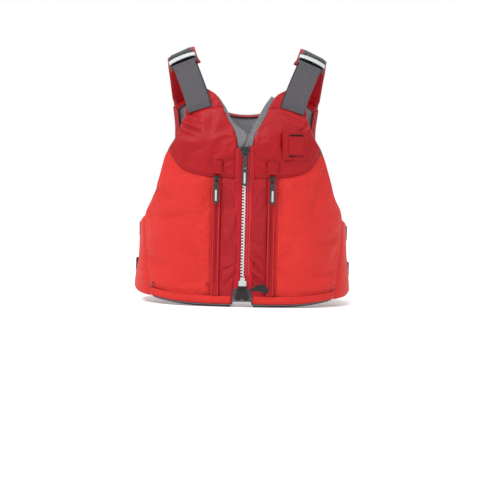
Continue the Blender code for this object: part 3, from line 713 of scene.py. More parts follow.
class Bench:
    """Hard pieces, modelled from primitives with edit tools and modifiers."""

    @staticmethod
    def begin() -> None:
        """Clears the selection, so that an operator acts only on the new piece."""
        if bpy.context.mode != "OBJECT":
            bpy.ops.object.mode_set(mode="OBJECT")
        bpy.ops.object.select_all(action="DESELECT")

    @staticmethod
    def soften(made: bpy.types.Object, bevel: float, segments: int = 2) -> bpy.types.Object:
        """Rounds a new piece's sharp edges, if there is a bevel, and shades it smooth."""
        if bevel:
            edge = made.modifiers.new("edges", "BEVEL")
            edge.width, edge.segments, edge.limit_method = bevel, segments, "ANGLE"
            apply_all(made)
        bpy.ops.object.shade_smooth_by_angle(angle=SMOOTH_ANGLE)
        return made

    @classmethod
    def block(cls, name: str, size: Sequence[float], bevel: float,
              segments: int = 2) -> bpy.types.Object:
        """A block with rounded edges.

        Args:
            name: the piece's name.
            size: its length along X, Y and Z.
            bevel: the rounding's width.
            segments: how fine the rounding is.

        Returns:
            The block, centred at the origin.
        """
        cls.begin()
        bpy.ops.mesh.primitive_cube_add(size=1.0)
        made = bpy.context.object
        made.name = made.data.name = name
        made.scale = size
        bpy.ops.object.transform_apply(location=False, rotation=False, scale=True)
        return cls.soften(made, bevel, segments)

    @classmethod
    def rod(cls, name: str, radius: float, length: float, axis: str = "X",
            sides: int = 20) -> bpy.types.Object:
        """A rod with rounded ends along an axis."""
        cls.begin()
        turn = {"X": (0, math.pi / 2, 0), "Y": (math.pi / 2, 0, 0), "Z": (0, 0, 0)}[axis]
        bpy.ops.mesh.primitive_cylinder_add(vertices=sides, radius=radius, depth=length,
                                            rotation=turn)
        made = bpy.context.object
        made.name = made.data.name = name
        bpy.ops.object.transform_apply(location=False, rotation=True, scale=False)
        return cls.soften(made, radius * 0.3)

    @classmethod
    def ring(cls, name: str, radius: float, wire: float) -> bpy.types.Object:
        """A round ring in the XZ plane, flattened along Y like a pressed eyelet."""
        cls.begin()
        bpy.ops.mesh.primitive_torus_add(major_radius=radius, minor_radius=wire,
                                         major_segments=28, minor_segments=10,
                                         rotation=(math.pi / 2, 0, 0))
        made = bpy.context.object
        made.name = made.data.name = name
        made.scale = (1.0, 1.0, 0.6)
        bpy.ops.object.transform_apply(location=False, rotation=True, scale=True)
        bpy.ops.object.shade_smooth()
        return made

    @classmethod
    def prism(cls, name: str, outline: Sequence[tuple[float, float]], low: float, high: float,
              bevel: float, axes: tuple[int, int] = (0, 2)) -> bpy.types.Object:
        """An outline on two axes, extruded along the third and rounded."""
        third = 3 - sum(axes)
        spots = []
        for a, b in outline:
            spot = [0.0, 0.0, 0.0]
            spot[axes[0]], spot[axes[1]], spot[third] = a, b, low
            spots.append(spot)
        mesh = bpy.data.meshes.new(name)
        mesh.from_pydata(spots, [], [range(len(spots))])
        made = bpy.data.objects.new(name, mesh)
        bpy.context.scene.collection.objects.link(made)
        cls.begin()
        made.select_set(True)
        bpy.context.view_layer.objects.active = made
        bpy.ops.object.mode_set(mode="EDIT")
        bpy.ops.mesh.select_all(action="SELECT")
        shift = [0.0, 0.0, 0.0]
        shift[third] = high - low
        bpy.ops.mesh.extrude_region_move(TRANSFORM_OT_translate={"value": shift})
        bpy.ops.mesh.select_all(action="SELECT")
        bpy.ops.mesh.normals_make_consistent(inside=False)
        bpy.ops.object.mode_set(mode="OBJECT")
        return cls.soften(made, bevel)

    @classmethod
    def cut(cls, target: bpy.types.Object, tool: bpy.types.Object) -> None:
        """Cuts a tool's shape out of a piece and removes the tool."""
        cls.begin()
        hole = target.modifiers.new("hole", "BOOLEAN")
        hole.object = tool
        apply_all(target)
        bpy.data.objects.remove(tool)
        cls.begin()
        target.select_set(True)
        bpy.context.view_layer.objects.active = target
        bpy.ops.object.shade_smooth_by_angle(angle=math.radians(40))

    @classmethod
    def join(cls, name: str, parts: Sequence[bpy.types.Object]) -> bpy.types.Object:
        """Makes several parts one piece."""
        cls.begin()
        for part in parts:
            part.select_set(True)
        bpy.context.view_layer.objects.active = parts[0]
        bpy.ops.object.join()
        made = bpy.context.object
        made.name = made.data.name = name
        return made

    @staticmethod
    def put(made: bpy.types.Object, matrix: Matrix) -> bpy.types.Object:
        """Places a piece by its mesh, leaving its object at the origin."""
        made.data.transform(matrix)
        made.matrix_world = Matrix.Identity(4)
        return made

    @staticmethod
    def copy(made: bpy.types.Object, name: str, matrix: Matrix) -> bpy.types.Object:
        """A copy with its own mesh, placed by it."""
        twin = made.copy()
        twin.data = made.data.copy()
        twin.name = twin.data.name = name
        bpy.context.scene.collection.objects.link(twin)
        twin.data.transform(matrix)
        return twin


def upright(place: Vector, up: Vector, normal: Vector) -> Matrix:
    """Matrix at place whose Z runs up and whose -Y runs along the normal."""
    z = up.normalized()
    y = -(normal - z * normal.dot(z)).normalized()
    return Matrix.Translation(place) @ Matrix((y.cross(z), y, z)).transposed().to_4x4()


def zip_matrix(x: float, height: float, top: float) -> Matrix:
    """Frame on a straight zip line at x, at a height."""
    low, high = Form.front(x, ZIP_LOW), Form.front(x, top)
    share = (height - low.z) / (high.z - low.z)
    return upright(low.lerp(high, share), high - low, Form.outward(Form.front, x, height))


def mirrored(matrix: Matrix, side: int) -> Matrix:
    """The same frame on the other side of the jacket, still right-handed."""
    flip = Matrix.Diagonal((-1.0, 1.0, 1.0, 1.0))
    return matrix if side > 0 else flip @ matrix @ flip


class Stitches:
    """Rows of stitches, each a short thread lying on the cloth."""

    length = 0.0027
    pitch = 0.0036
    radius = 0.00032

    @classmethod
    def sew(cls, name: str, rows: Sequence[Sequence[tuple[Vector, Vector]]]) -> bpy.types.Object:
        """Sews rows of stitches.

        Args:
            name: the piece's name.
            rows: each a fine line of (place, outward normal).

        Returns:
            One mesh of all the stitches.
        """
        form = bmesh.new()
        for row in rows:
            cls.sew_row(form, row)
        made = object_of(name, form)
        made.data.shade_smooth()
        return made

    @classmethod
    def sew_row(cls, form: bmesh.types.BMesh, row: Sequence[tuple[Vector, Vector]]) -> None:
        """One row: a stitch each pitch along the line."""
        spots = np.array([spot for spot, _ in row])
        steps = np.linalg.norm(np.diff(spots, axis=0), axis=1)
        knots = np.concatenate([[0.0], np.cumsum(steps)])
        for start in np.arange(cls.pitch / 2, knots[-1] - cls.length, cls.pitch):
            i = min(int(np.searchsorted(knots, start)), len(row) - 1)
            ends = [Vector([np.interp(start + part, knots, spots[:, k]) for k in range(3)])
                    for part in (0.0, cls.length)]
            cls.stitch(form, ends[0], ends[1], row[i][1])

    @classmethod
    def stitch(cls, form: bmesh.types.BMesh, start: Vector, end: Vector, normal: Vector) -> None:
        """One stitch: a thread thick in its middle that dives in at both ends."""
        direction = (end - start).normalized()
        across = direction.cross(normal).normalized()
        loops = []
        for share, size, rise in ((0.0, 0.45, -0.6), (0.22, 0.95, 0.3), (0.78, 0.95, 0.3),
                                  (1.0, 0.45, -0.6)):
            middle = start.lerp(end, share) + normal * cls.radius * rise
            loops.append([form.verts.new(middle + (across * math.cos(a) + normal * math.sin(a))
                                         * cls.radius * size)
                          for a in (0.3, 1.8, 3.4, 4.9)])
        for low, high in zip(loops, loops[1:]):
            for k in range(4):
                form.faces.new((low[k], low[(k + 1) % 4], high[(k + 1) % 4], high[k]))
        form.faces.new(loops[0][::-1])
        form.faces.new(loops[-1])


def on_form(line: Line, side: int, place: Callable[[float, float], Vector], depth: float = 0.0,
            count: int = 60) -> list[tuple[Vector, Vector]]:
    """A sewing line as places and normals on the form, a depth below it."""
    found = []
    for share in np.linspace(0, 1, count):
        u, z = on_line(line, float(share))
        normal = Form.outward(place, u, z)
        spot = place(u, z) - normal * depth
        found.append((Vector((spot.x * side, spot.y, spot.z)),
                      Vector((normal.x * side, normal.y, normal.z))))
    return found


def offset_line(line: Line, by: float) -> list[tuple[float, float]]:
    """A sewing line moved sideways, to the right of its own direction for a positive distance."""
    found = []
    for share in np.linspace(0, 1, 12):
        here = on_line(line, float(share))
        ahead = on_line(line, min(1.0, float(share) + 0.02)) - on_line(line, max(0.0, float(share) - 0.02))
        ahead /= np.linalg.norm(ahead)
        found.append((here[0] + ahead[1] * by, here[1] - ahead[0] * by))
    return found


@dataclass
class FrontHalf:
    """One front half: panels, lining, pocket zip and side wing."""

    side: int
    word: str
    tailor: Tailor
    chest_wall: float = 0.011

    @property
    def body(self) -> str:
        """The body that this half rides on."""
        return f"front_{self.word}"

    def node(self, name: str) -> str:
        """A node of this half by its plain name."""
        return f"{name}_{self.word}"

    def build(self) -> None:
        """Makes every soft piece of this half."""
        self.lower_panels()
        self.chest()
        self.hem()
        self.lining()
        self.wing()
        self.seams()

    def sewn(self, name: str, outline: tuple, finish: Finish, nodes: Sequence[str],
             **settings: object) -> bpy.types.Object:
        """Takes one panel to the tailor and dresses it."""
        panel = Panel(self.node(name), outline, Form.front, self.side, **settings)
        made = self.tailor.take(panel)
        dress(made, finish, self.body, *[self.node(n) for n in nodes])
        return made

    def lower_panels(self) -> None:
        """Pocket panel, centre panel and the strip that holds the pocket zip."""
        top = [line_height(YOKE_LOW, x) for x in (POCKET_ZIP[0], POCKET_ZIP[1])]
        band = ((POCKET_ZIP[1], HEM_BAND), (0.100, HEM_BAND + 0.0015), (0.1556, 0.027))
        outline = (band, SIDE_EDGE[1:], ((POCKET_ZIP[1], top[1]),) + YOKE_LOW[2:],
                   (band[0], (POCKET_ZIP[1], top[1])))
        self.sewn("pocket_panel", outline, RIPSTOP, ["pocket_panel"], count=(42, 72),
                  creases=self.pocket_folds(), waver=0.0020, loose=0.026,
                  edges=Edges(valley=0.0026, slope=0.008))
        # The centre panel and the pocket strip take the darker crimson: partly their own tone, partly
        # painted shade.
        centre = (((0.0152, HEM_BAND), (POCKET_ZIP[0], HEM_BAND)),
                  ((POCKET_ZIP[0], HEM_BAND), (POCKET_ZIP[0], top[0])),
                  ((ZIP_EDGE, 0.208), (POCKET_ZIP[0], top[0])),
                  ((0.0152, HEM_BAND), (0.0140, 0.028), (ZIP_EDGE, 0.042), (ZIP_EDGE, 0.208)))
        self.sewn("center_panel", centre, SHADED_CRIMSON, ["center_panel"], count=(12, 72),
                  creases=self.centre_folds(), waver=0.0016, loose=0.045,
                  edges=Edges(first=0.008, corner=0.003, valley=0.0018, slope=0.005))
        strip = (((POCKET_ZIP[0], HEM_BAND), (POCKET_ZIP[1], HEM_BAND)),
                 ((POCKET_ZIP[1], HEM_BAND), (POCKET_ZIP[1], top[1])),
                 ((POCKET_ZIP[0], top[0]), (POCKET_ZIP[1], top[1])),
                 ((POCKET_ZIP[0], HEM_BAND), (POCKET_ZIP[0], top[0])))
        self.sewn("pocket_strip", strip, SHADED_CRIMSON, ["pocket_zip_tape"], count=(12, 60),
                  waver=0.0003, loose=0.0, lift=0.0002,
                  creases=(Crease((0.0447, 0.008), (0.0447, 0.220), 0.0010, 0.0013),),
                  edges=Edges(valley=0.0008, slope=0.0020))

    def pocket_folds(self) -> tuple[Crease, ...]:
        """Folds of the pocket panel."""
        if self.side > 0:
            return (Crease((0.060, 0.205), (0.068, 0.110), 0.009, 0.0046),
                    Crease((0.130, 0.222), (0.112, 0.150), 0.008, 0.0042),
                    Crease((0.060, 0.050), (0.085, 0.115), 0.011, 0.0042),
                    Crease((0.160, 0.120), (0.120, 0.100), 0.008, 0.0034),
                    Crease((0.158, 0.062), (0.110, 0.052), 0.008, 0.0036))
        return (Crease((0.060, 0.050), (0.100, 0.110), 0.010, 0.0048),
                Crease((0.150, 0.190), (0.110, 0.170), 0.007, 0.0040),
                Crease((0.058, 0.206), (0.066, 0.140), 0.009, 0.0042),
                Crease((0.140, 0.140), (0.090, 0.150), 0.009, 0.0032),
                Crease((0.158, 0.075), (0.120, 0.060), 0.008, 0.0038))

    def centre_folds(self) -> tuple[Crease, ...]:
        """Folds that pull across the centre panel near the zip's foot."""
        if self.side < 0:
            return (Crease((0.012, 0.070), (0.036, 0.056), 0.0028, 0.0030),
                    Crease((0.013, 0.060), (0.034, 0.046), 0.0028, -0.0020),
                    Crease((0.015, 0.050), (0.032, 0.034), 0.0028, 0.0034),
                    Crease((0.026, 0.020), (0.024, 0.090), 0.0030, 0.0016))
        return (Crease((0.012, 0.094), (0.038, 0.072), 0.0026, 0.0034),
                Crease((0.012, 0.084), (0.034, 0.062), 0.0026, -0.0024),
                Crease((0.012, 0.076), (0.036, 0.053), 0.0026, 0.0040),
                Crease((0.013, 0.064), (0.034, 0.044), 0.0026, -0.0024),
                Crease((0.013, 0.057), (0.031, 0.036), 0.0026, 0.0036),
                Crease((0.012, 0.110), (0.034, 0.102), 0.0026, 0.0022))

    def chest(self) -> None:
        """Chest yoke and the neck tongue behind the strap."""
        outline = (YOKE_LOW, ARMHOLE_HIGH, YOKE_TOP, NECK)
        self.sewn("chest_yoke", outline, NYLON, ["chest_yoke"], count=(40, 40),
                  creases=self.yoke_folds(), waver=0.0022, loose=0.036,
                  edges=Edges(first=0.010, last=self.chest_wall, corner=0.006, valley=0.0024,
                              slope=0.006))
        sides = ((0.101, 0.315), (0.099, 0.334))
        tongue = (YOKE_TOP, sides, ((0.066, 0.357), (0.080, 0.3545), (0.099, 0.334)), NECK_TOP)
        self.sewn("neck_tongue", tongue, NYLON, ["neck_tongue"], count=(26, 16), loose=0.04,
                  waver=0.0014, edges=Edges(high=0.004, first=0.005, last=0.005, corner=0.003),
                  creases=(Crease((0.046, 0.340), (0.070, 0.325), 0.003, 0.0016),
                           Crease((0.056, 0.352), (0.078, 0.335), 0.003, 0.0014)))

    def yoke_folds(self) -> tuple[Crease, ...]:
        """Folds below the strap's end and round the top of the pocket zip."""
        folds = [Crease((0.030, 0.214), (0.044, 0.245), 0.0035, 0.0022),
                 Crease((0.060, 0.218), (0.050, 0.246), 0.0035, 0.0020)]
        if self.side > 0:
            folds += [Crease((0.056, 0.316), (0.092, 0.298), 0.0040, 0.0030),
                      Crease((0.062, 0.306), (0.094, 0.291), 0.0040, -0.0022),
                      Crease((0.103, 0.300), (0.086, 0.282), 0.0040, 0.0026),
                      Crease((0.013, 0.246), (0.042, 0.232), 0.0045, 0.0030),
                      Crease((0.014, 0.232), (0.040, 0.220), 0.0040, 0.0024),
                      Crease((0.100, 0.240), (0.080, 0.226), 0.0050, 0.0018)]
        else:
            folds += [Crease((0.102, 0.308), (0.070, 0.293), 0.0038, 0.0042),
                      Crease((0.104, 0.301), (0.072, 0.288), 0.0036, -0.0026),
                      Crease((0.107, 0.295), (0.072, 0.281), 0.0038, 0.0042),
                      Crease((0.110, 0.284), (0.078, 0.272), 0.0040, 0.0034),
                      Crease((0.095, 0.316), (0.072, 0.303), 0.0034, 0.0034),
                      Crease((0.013, 0.240), (0.052, 0.231), 0.0040, 0.0034),
                      Crease((0.013, 0.228), (0.046, 0.219), 0.0036, 0.0024),
                      Crease((0.050, 0.262), (0.100, 0.250), 0.0070, 0.0018),
                      Crease((0.120, 0.262), (0.104, 0.240), 0.0050, 0.0020)]
        return tuple(folds)

    def hem(self) -> None:
        """Hem band that turns under, and the binding along its foot, in the lining's grey darkened as
        painted shade.
        """
        line = [(x, Form.hem(x) + 0.0035) for x in (0.0165, 0.06, 0.09, 0.12, 0.153)]
        top = ((0.0152, HEM_BAND), (0.06, HEM_BAND), (0.100, HEM_BAND + 0.0015), (0.1556, 0.027))
        outline = (line, (line[-1], top[-1]), top, (line[0], (0.0155, 0.010), top[0]))
        self.sewn("hem_front", outline, RIPSTOP, ["hem_front"], count=(56, 8), waver=0.0006,
                  loose=0.01, edges=Edges(low=0.013, first=0.012, corner=0.007, valley=0.0016,
                                          slope=0.004))
        foot = [(x - 0.004 if x > 0.1 else x, Form.hem(x)) for x in (0.0185, 0.06, 0.09, 0.12, 0.153)]
        high = [(x, z + 0.0045) for x, z in foot]
        binding = (foot, (foot[-1], high[-1]), high, (foot[0], high[0]))
        panel = Panel(self.node("hem_binding"), binding, Form.front, self.side, (48, 2),
                      Edges(low=0.003, corner=0.002, valley=0.0), -0.0075, 0.0004, thick=0.003)
        made = panel.build()
        thicken(made, panel.thick)
        dress(made, SHADED_BINDING, self.body)

    def lining(self) -> None:
        """Grey lining over the body side of the foam."""
        foot = [(x, Form.hem(x) + 0.004) for x in (ZIP_EDGE + 0.004, 0.06, 0.10, 0.151)]
        right = tuple((x - 0.002, z) for x, z in (foot[-1],) + SIDE_EDGE[1:-1] + ARMHOLE_HIGH)
        left = ((foot[0]), (ZIP_EDGE + 0.002, 0.05), (ZIP_EDGE + 0.002, 0.255), (0.018, 0.282),
                (0.028, 0.305), (0.039, 0.3255))
        top = (left[-1], (0.060, 0.324), right[-1])
        panel = Panel(self.node("front_lining"), (foot, right, top, left), Form.front, self.side,
                      (24, 56), Edges(valley=0.0), 0.0, 0.0010,
                      inward=foam_depth(0.032, 0.003), thick=0.0012, crowd=0.7)
        made = panel.build()
        thicken(made, panel.thick)
        nodes = [self.node(n) for n in ("front_lining", "front_foam", "chest_foam")]
        dress(made, LINING, self.body, *nodes)

    def wing(self) -> None:
        """Side wing: one piece of cloth from the side seam to the back panel."""
        outline = self.wing_outline()
        panel = Panel(self.node("side_wing"), outline, Form.around, self.side, (40, 34),
                      Edges(low=0.004, high=0.004, corner=0.003, valley=0.0050, slope=0.0065),
                      0.0, 0.0016, loose=0.0, thick=0.0040)
        made = self.tailor.take(panel)
        dress(made, RIPSTOP, "", self.node("side_wing_front"), self.node("side_wing_rear"))
        self.made_wing = made

    def wing_outline(self) -> tuple[Line, Line, Line, Line]:
        """The wing's four edges as (turn, z)."""
        def seam(z: float) -> float:
            x = along([p[1] for p in SIDE_EDGE[:5]], [p[0] for p in SIDE_EDGE[:5]], z)
            share = (x / Form.level(HALF_WIDTH, z)) ** (OVAL_POWER / 2)
            return math.degrees(math.asin(share)) - 1.6
        heights = (0.012, 0.040, 0.075, 0.115, 0.147)
        left = [(seam(z), z) for z in heights]
        right = [(128.5, z) for z in (0.0125, 0.05, 0.10, 0.150)]
        bottom = [left[0], (72.0, 0.0150), (90.0, 0.0180), (110.0, 0.0155), right[0]]
        top = [left[-1], (80.0, 0.141), (95.0, 0.139), (110.0, 0.143), right[-1]]
        return bottom, right, top, left

    def bend_wing(self) -> None:
        """Bakes the wing's transform into its mesh."""
        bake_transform(self.made_wing, "back", self.body, (self.side * 0.175, 0.006, 0.08),
                 (self.side * 0.170, -0.048, 0.08))

    def seams(self) -> None:
        """Stitched rows along the seams, and the pocket's drain eyelets."""
        rows = [on_form(offset_line(YOKE_LOW, -0.0042), self.side, Form.front, 0.0012),
                on_form(offset_line(YOKE_TOP, 0.0040), self.side, Form.front, 0.0012),
                on_form(((POCKET_ZIP[1] + 0.003, 0.022), (POCKET_ZIP[1] + 0.003, 0.208)), self.side,
                        Form.front, 0.0010),
                on_form(((POCKET_ZIP[0] - 0.003, 0.022), (POCKET_ZIP[0] - 0.003, 0.206)), self.side,
                        Form.front, 0.0010)]
        band = ((0.022, 0.0215), (0.06, 0.0215), (0.100, 0.023), (0.152, 0.030))
        rows.append(on_form(band, self.side, Form.front, 0.0012))
        made = Stitches.sew(self.node("seam_stitches"), rows)
        dress(made, THREAD, self.body)
        for k, (x, z) in enumerate(((0.058, 0.0355), (0.1465, 0.0345))):
            normal = Form.outward(Form.front, x, z)
            matrix = upright(Form.front(x, z) - normal * 0.0010, Vector((0, 0, 1)), normal)
            ring = Bench.ring(self.node(f"drain_eyelet_{k + 1}"), 0.0024, 0.0009)
            Bench.put(ring, mirrored(matrix, self.side))
            dress(ring, THREAD, self.body)


def strap_frame(share: float) -> tuple[Vector, Vector, Vector, Vector]:
    """Middle, direction, width direction and outward normal of the left shoulder line."""
    middle = Vector(on_line(SHOULDER_LINE, share))
    ahead = on_line(SHOULDER_LINE, min(share + 0.01, 1.0))
    before = on_line(SHOULDER_LINE, max(share - 0.01, 0.0))
    direction = Vector(ahead - before).normalized()
    slope = SHOULDER_SLOPE[0] + min(1.0, share / 0.5) * (SHOULDER_SLOPE[1] - SHOULDER_SLOPE[0])
    across = Vector((math.cos(math.radians(slope)), 0.0, math.sin(math.radians(slope))))
    across = (across - direction * across.dot(direction)).normalized()
    return middle, direction, across, across.cross(direction).normalized()


@dataclass
class Ribbon:
    """A strap or pad: a section swept along frames of (middle, across, outward)."""

    name: str
    frames: list[tuple[Vector, Vector, Vector]]
    width: float | Sequence[float]
    thick: float | Sequence[float]
    square: float = 7.0
    points: int = 28

    def build(self) -> bpy.types.Object:
        """Makes the strap, closed at both ends, with a UV map in metres."""
        widths = np.broadcast_to(self.width, (len(self.frames),))
        thicks = np.broadcast_to(self.thick, (len(self.frames),))
        form = bmesh.new()
        sheet = form.loops.layers.uv.new("cloth")
        rings, places, run, last = [], {}, 0.0, self.frames[0][0]
        for (middle, across, normal), width, thick in zip(self.frames, widths, thicks):
            run += (middle - last).length
            last = middle
            ring = []
            for s, t in self.section():
                spot = middle + across * (s * width / 2) + normal * (t * thick / 2)
                vert = form.verts.new(spot)
                places[vert] = (s * width / 2 + width / 2, run)
                ring.append(vert)
            rings.append(ring)
        for low, high in zip(rings, rings[1:]):
            for k in range(self.points):
                form.faces.new((low[k], low[(k + 1) % self.points],
                                high[(k + 1) % self.points], high[k]))
        form.faces.new(rings[0])
        form.faces.new(rings[-1])
        bmesh.ops.recalc_face_normals(form, faces=form.faces)
        for face in form.faces:
            for loop in face.loops:
                loop[sheet].uv = places[loop.vert]
        return self.finished(form)

    def section(self) -> list[tuple[float, float]]:
        """Points round the section, from -1 to 1 each way."""
        found = []
        for k in range(self.points):
            angle = 2 * math.pi * (k + 0.5) / self.points
            c, s = math.cos(angle), math.sin(angle)
            size = (abs(c) ** self.square + abs(s) ** self.square) ** (-1 / self.square)
            found.append((c * size, s * size))
        return found

    def finished(self, form: bmesh.types.BMesh) -> bpy.types.Object:
        """The strap as an object with smooth faces and crisp ends."""
        made = object_of(self.name, form)
        Bench.begin()
        made.select_set(True)
        bpy.context.view_layer.objects.active = made
        bpy.ops.object.shade_smooth_by_angle(angle=math.radians(60))
        return made


def flipped(frames: list[tuple[Vector, Vector, Vector]], side: int) -> list:
    """The same frames on a side of the jacket."""
    return [tuple(Vector((v.x * side, v.y, v.z)) for v in frame_) for frame_ in frames]


HOOK = Matrix.Translation((0, -0.0062, 0))


@dataclass
class MainZip:
    """The front zip: tapes, teeth, retainer, slider and its pull."""

    pitch: float = 0.0048
    tape_width: float = 0.0128
    tape_middle: float = 0.0091
    flare_from: float = 0.250
    flare: float = 0.3
    slider_height: float = 0.2535
    right_top: float = 0.2445
    pull_length: float = 0.056

    def build(self) -> None:
        """Makes every piece of the zip."""
        self.origin = zip_matrix(0, 0.0, ZIP_HIGH)
        self.tall = 1.0 / self.origin.col[2].z
        for side, word in SIDES:
            top = ZIP_HIGH if side > 0 else self.right_top + 0.014
            self.tape(side, word, top)
            self.teeth(side, word, top - 0.002)
            self.end_tab(side, word)
        self.retainer()
        make_slider("zip_slider", zip_matrix(0, self.slider_height, ZIP_HIGH), 1.0, True)
        hook = zip_matrix(0, self.slider_height, ZIP_HIGH) @ HOOK
        make_pull("zip_pull", hook, 0.0090, self.pull_length)
        self.facings()

    def tape(self, side: int, word: str, top: float) -> None:
        """Woven tape with a cord along its inner edge and pale stitches beside it."""
        frames = []
        for z in np.linspace(0.030, top, 40):
            x = self.tape_middle + self.flare * max(0.0, z - self.flare_from)
            spot = self.origin @ Vector((side * x, 0.0007, z * self.tall))
            across = self.origin.to_3x3() @ Vector((side, 0, 0))
            frames.append((spot, across, -(self.origin.to_3x3() @ Vector((0, 1, 0)))))
        tape = Ribbon(f"zip_tape_{word}", frames, self.tape_width, 0.0008, 10.0, 24).build()
        dress(tape, TAPE, f"front_{word}", f"zip_tape_{word}")
        rows = []
        for x in (0.0057, 0.0098):
            rows.append([(self.origin @ Vector((side * x, 0.00025, z * self.tall)),
                          -(self.origin.to_3x3() @ Vector((0, 1, 0))))
                         for z in np.linspace(0.050, top - 0.006, 60)])
        finish = PALE_THREAD if side > 0 else THREAD
        dress(Stitches.sew(f"zip_stitches_{word}", rows), finish, f"front_{word}")

    def teeth(self, side: int, word: str, top: float) -> None:
        """A row of moulded teeth on their cord, made once and copied."""
        size, inner, depth = ((0.0019, 0.0022, 0.0016) if side > 0 else (0.0024, 0.0009, 0.0026))
        reach = 0.0032 if side > 0 else 0.0048
        first = Bench.block(f"tooth_{word}", (reach - inner * 0.5, depth, size), 0.0004, 2)
        head = Bench.block("tooth_head", (0.0013, depth * 0.86, size + 0.0003), 0.0005, 2)
        middle = 0.0033 - reach / 2
        Bench.put(first, Matrix.Translation((side * middle, 0, 0)))
        Bench.put(head, Matrix.Translation((side * (0.0037 - reach), 0, 0)))
        tooth = Bench.join(f"tooth_{word}", [first, head])
        start = 0.0502 + (0.0 if side > 0 else self.pitch / 2)
        copies = []
        for z in np.arange(start, top, self.pitch):
            place = self.origin @ Matrix.Translation((0, 0, z * self.tall))
            copies.append(Bench.copy(tooth, f"tooth_{len(copies)}", place))
        bpy.data.objects.remove(tooth)
        row = Bench.join(f"zip_teeth_{word}", copies)
        dress(row, TEETH, f"front_{word}", f"zip_teeth_{word}")
        frames = [(self.origin @ Vector((side * 0.0030, 0, z * self.tall)),
                   self.origin.to_3x3() @ Vector((1, 0, 0)), self.origin.to_3x3() @ Vector((0, -1, 0)))
                  for z in (0.050, top)]
        cord = Ribbon(f"zip_cord_{word}", frames, 0.0012, 0.0017, 2.0, 10).build()
        dress(cord, TAPE, f"front_{word}")

    def end_tab(self, side: int, word: str) -> None:
        """Black film tab, flared and lobed, that stiffens the tape's foot."""
        outline = [(0.0005, 0.0345), (0.0006, 0.0160), (0.0016, 0.0128), (0.0042, 0.0110),
                   (0.0080, 0.0108), (0.0104, 0.0124), (0.0113, 0.0150), (0.0108, 0.0180),
                   (0.0092, 0.0220), (0.0078, 0.0265), (0.0068, 0.0310), (0.0066, 0.0345)]
        tab = Bench.prism(f"zip_end_tab_{word}", [(side * x, z) for x, z in outline],
                          -0.0014, 0.0004, 0.0004)
        Bench.put(tab, self.origin)
        dress(tab, FILM, f"front_{word}", f"zip_end_tab_{word}")

    def retainer(self) -> None:
        """Pale retainer box with its black base bar, and the pin that it takes."""
        parts = []
        for name, size, place in (("zip_box", (0.0128, 0.0046, 0.0088), (0.0004, 0.0390)),
                                  ("box_neck", (0.0076, 0.0042, 0.0070), (0.0004, 0.0452))):
            block = Bench.block(name, size, 0.0011, 3)
            Bench.put(block, Matrix.Translation((place[0], -0.0026, place[1])))
            slot = Bench.block("pin_slot", (0.0030, 0.0026, 0.0300), 0.0002, 1)
            Bench.put(slot, Matrix.Translation((-0.0018, -0.0024, 0.0460)))
            Bench.cut(block, slot)
            parts.append(block)
        rib = Bench.block("box_rib", (0.0092, 0.0010, 0.0014), 0.0004, 2)
        parts.append(Bench.put(rib, Matrix.Translation((0.0004, -0.0045, 0.0372))))
        box = Bench.join("zip_box", parts)
        Bench.put(box, self.origin)
        dress(box, PALE, "front_left", "zip_box")
        pin = Bench.block("zip_pin", (0.0022, 0.0018, 0.0130), 0.0006, 3)
        Bench.put(pin, self.origin @ Matrix.Translation((-0.0018, -0.0024, 0.0430)))
        dress(pin, PALE, "front_right", "zip_pin")
        bar = Bench.block("zip_base_bar", (0.0150, 0.0030, 0.0022), 0.0007, 3)
        Bench.put(bar, self.origin @ Matrix.Translation((0.0004, -0.0032, 0.0334)))
        dress(bar, FILM, "front_left")

    def facings(self) -> None:
        """Grey facings behind the zip: a full flap on the left, a narrower one on the right."""
        left = (((-0.010, 0.008), (0.019, 0.008)),
                ((0.019, 0.008), (0.0165, 0.026), (0.0118, 0.045), (0.0118, 0.262),
                 (0.0152, 0.280), (0.0265, 0.305), (0.0375, 0.327), (0.0490, 0.345)),
                ((0.0415, 0.349), (0.0490, 0.345)),
                ((-0.010, 0.008), (-0.010, 0.262), (0.0029, 0.2788), (0.0165, 0.305),
                 (0.0290, 0.330), (0.0415, 0.349)))
        right = (((0.007, 0.008), (0.019, 0.008)), left[1], ((0.0465, 0.346), (0.0490, 0.345)),
                 ((0.007, 0.008), (0.007, 0.258), (-0.0029, 0.2788), (0.0215, 0.305),
                  (0.0340, 0.328), (0.0465, 0.346)))
        for (side, word), outline, depth in zip(SIDES, (left, right), (0.0068, 0.0052)):
            panel = Panel(f"zip_facing_{word}", outline, Form.front, side, (10, 90),
                          Edges(valley=0.0), -depth, 0.0004, thick=0.0010)
            made = panel.build()
            made.vertex_groups.clear()
            thicken(made, panel.thick, 0)
            dress(made, LINING, f"front_{word}")


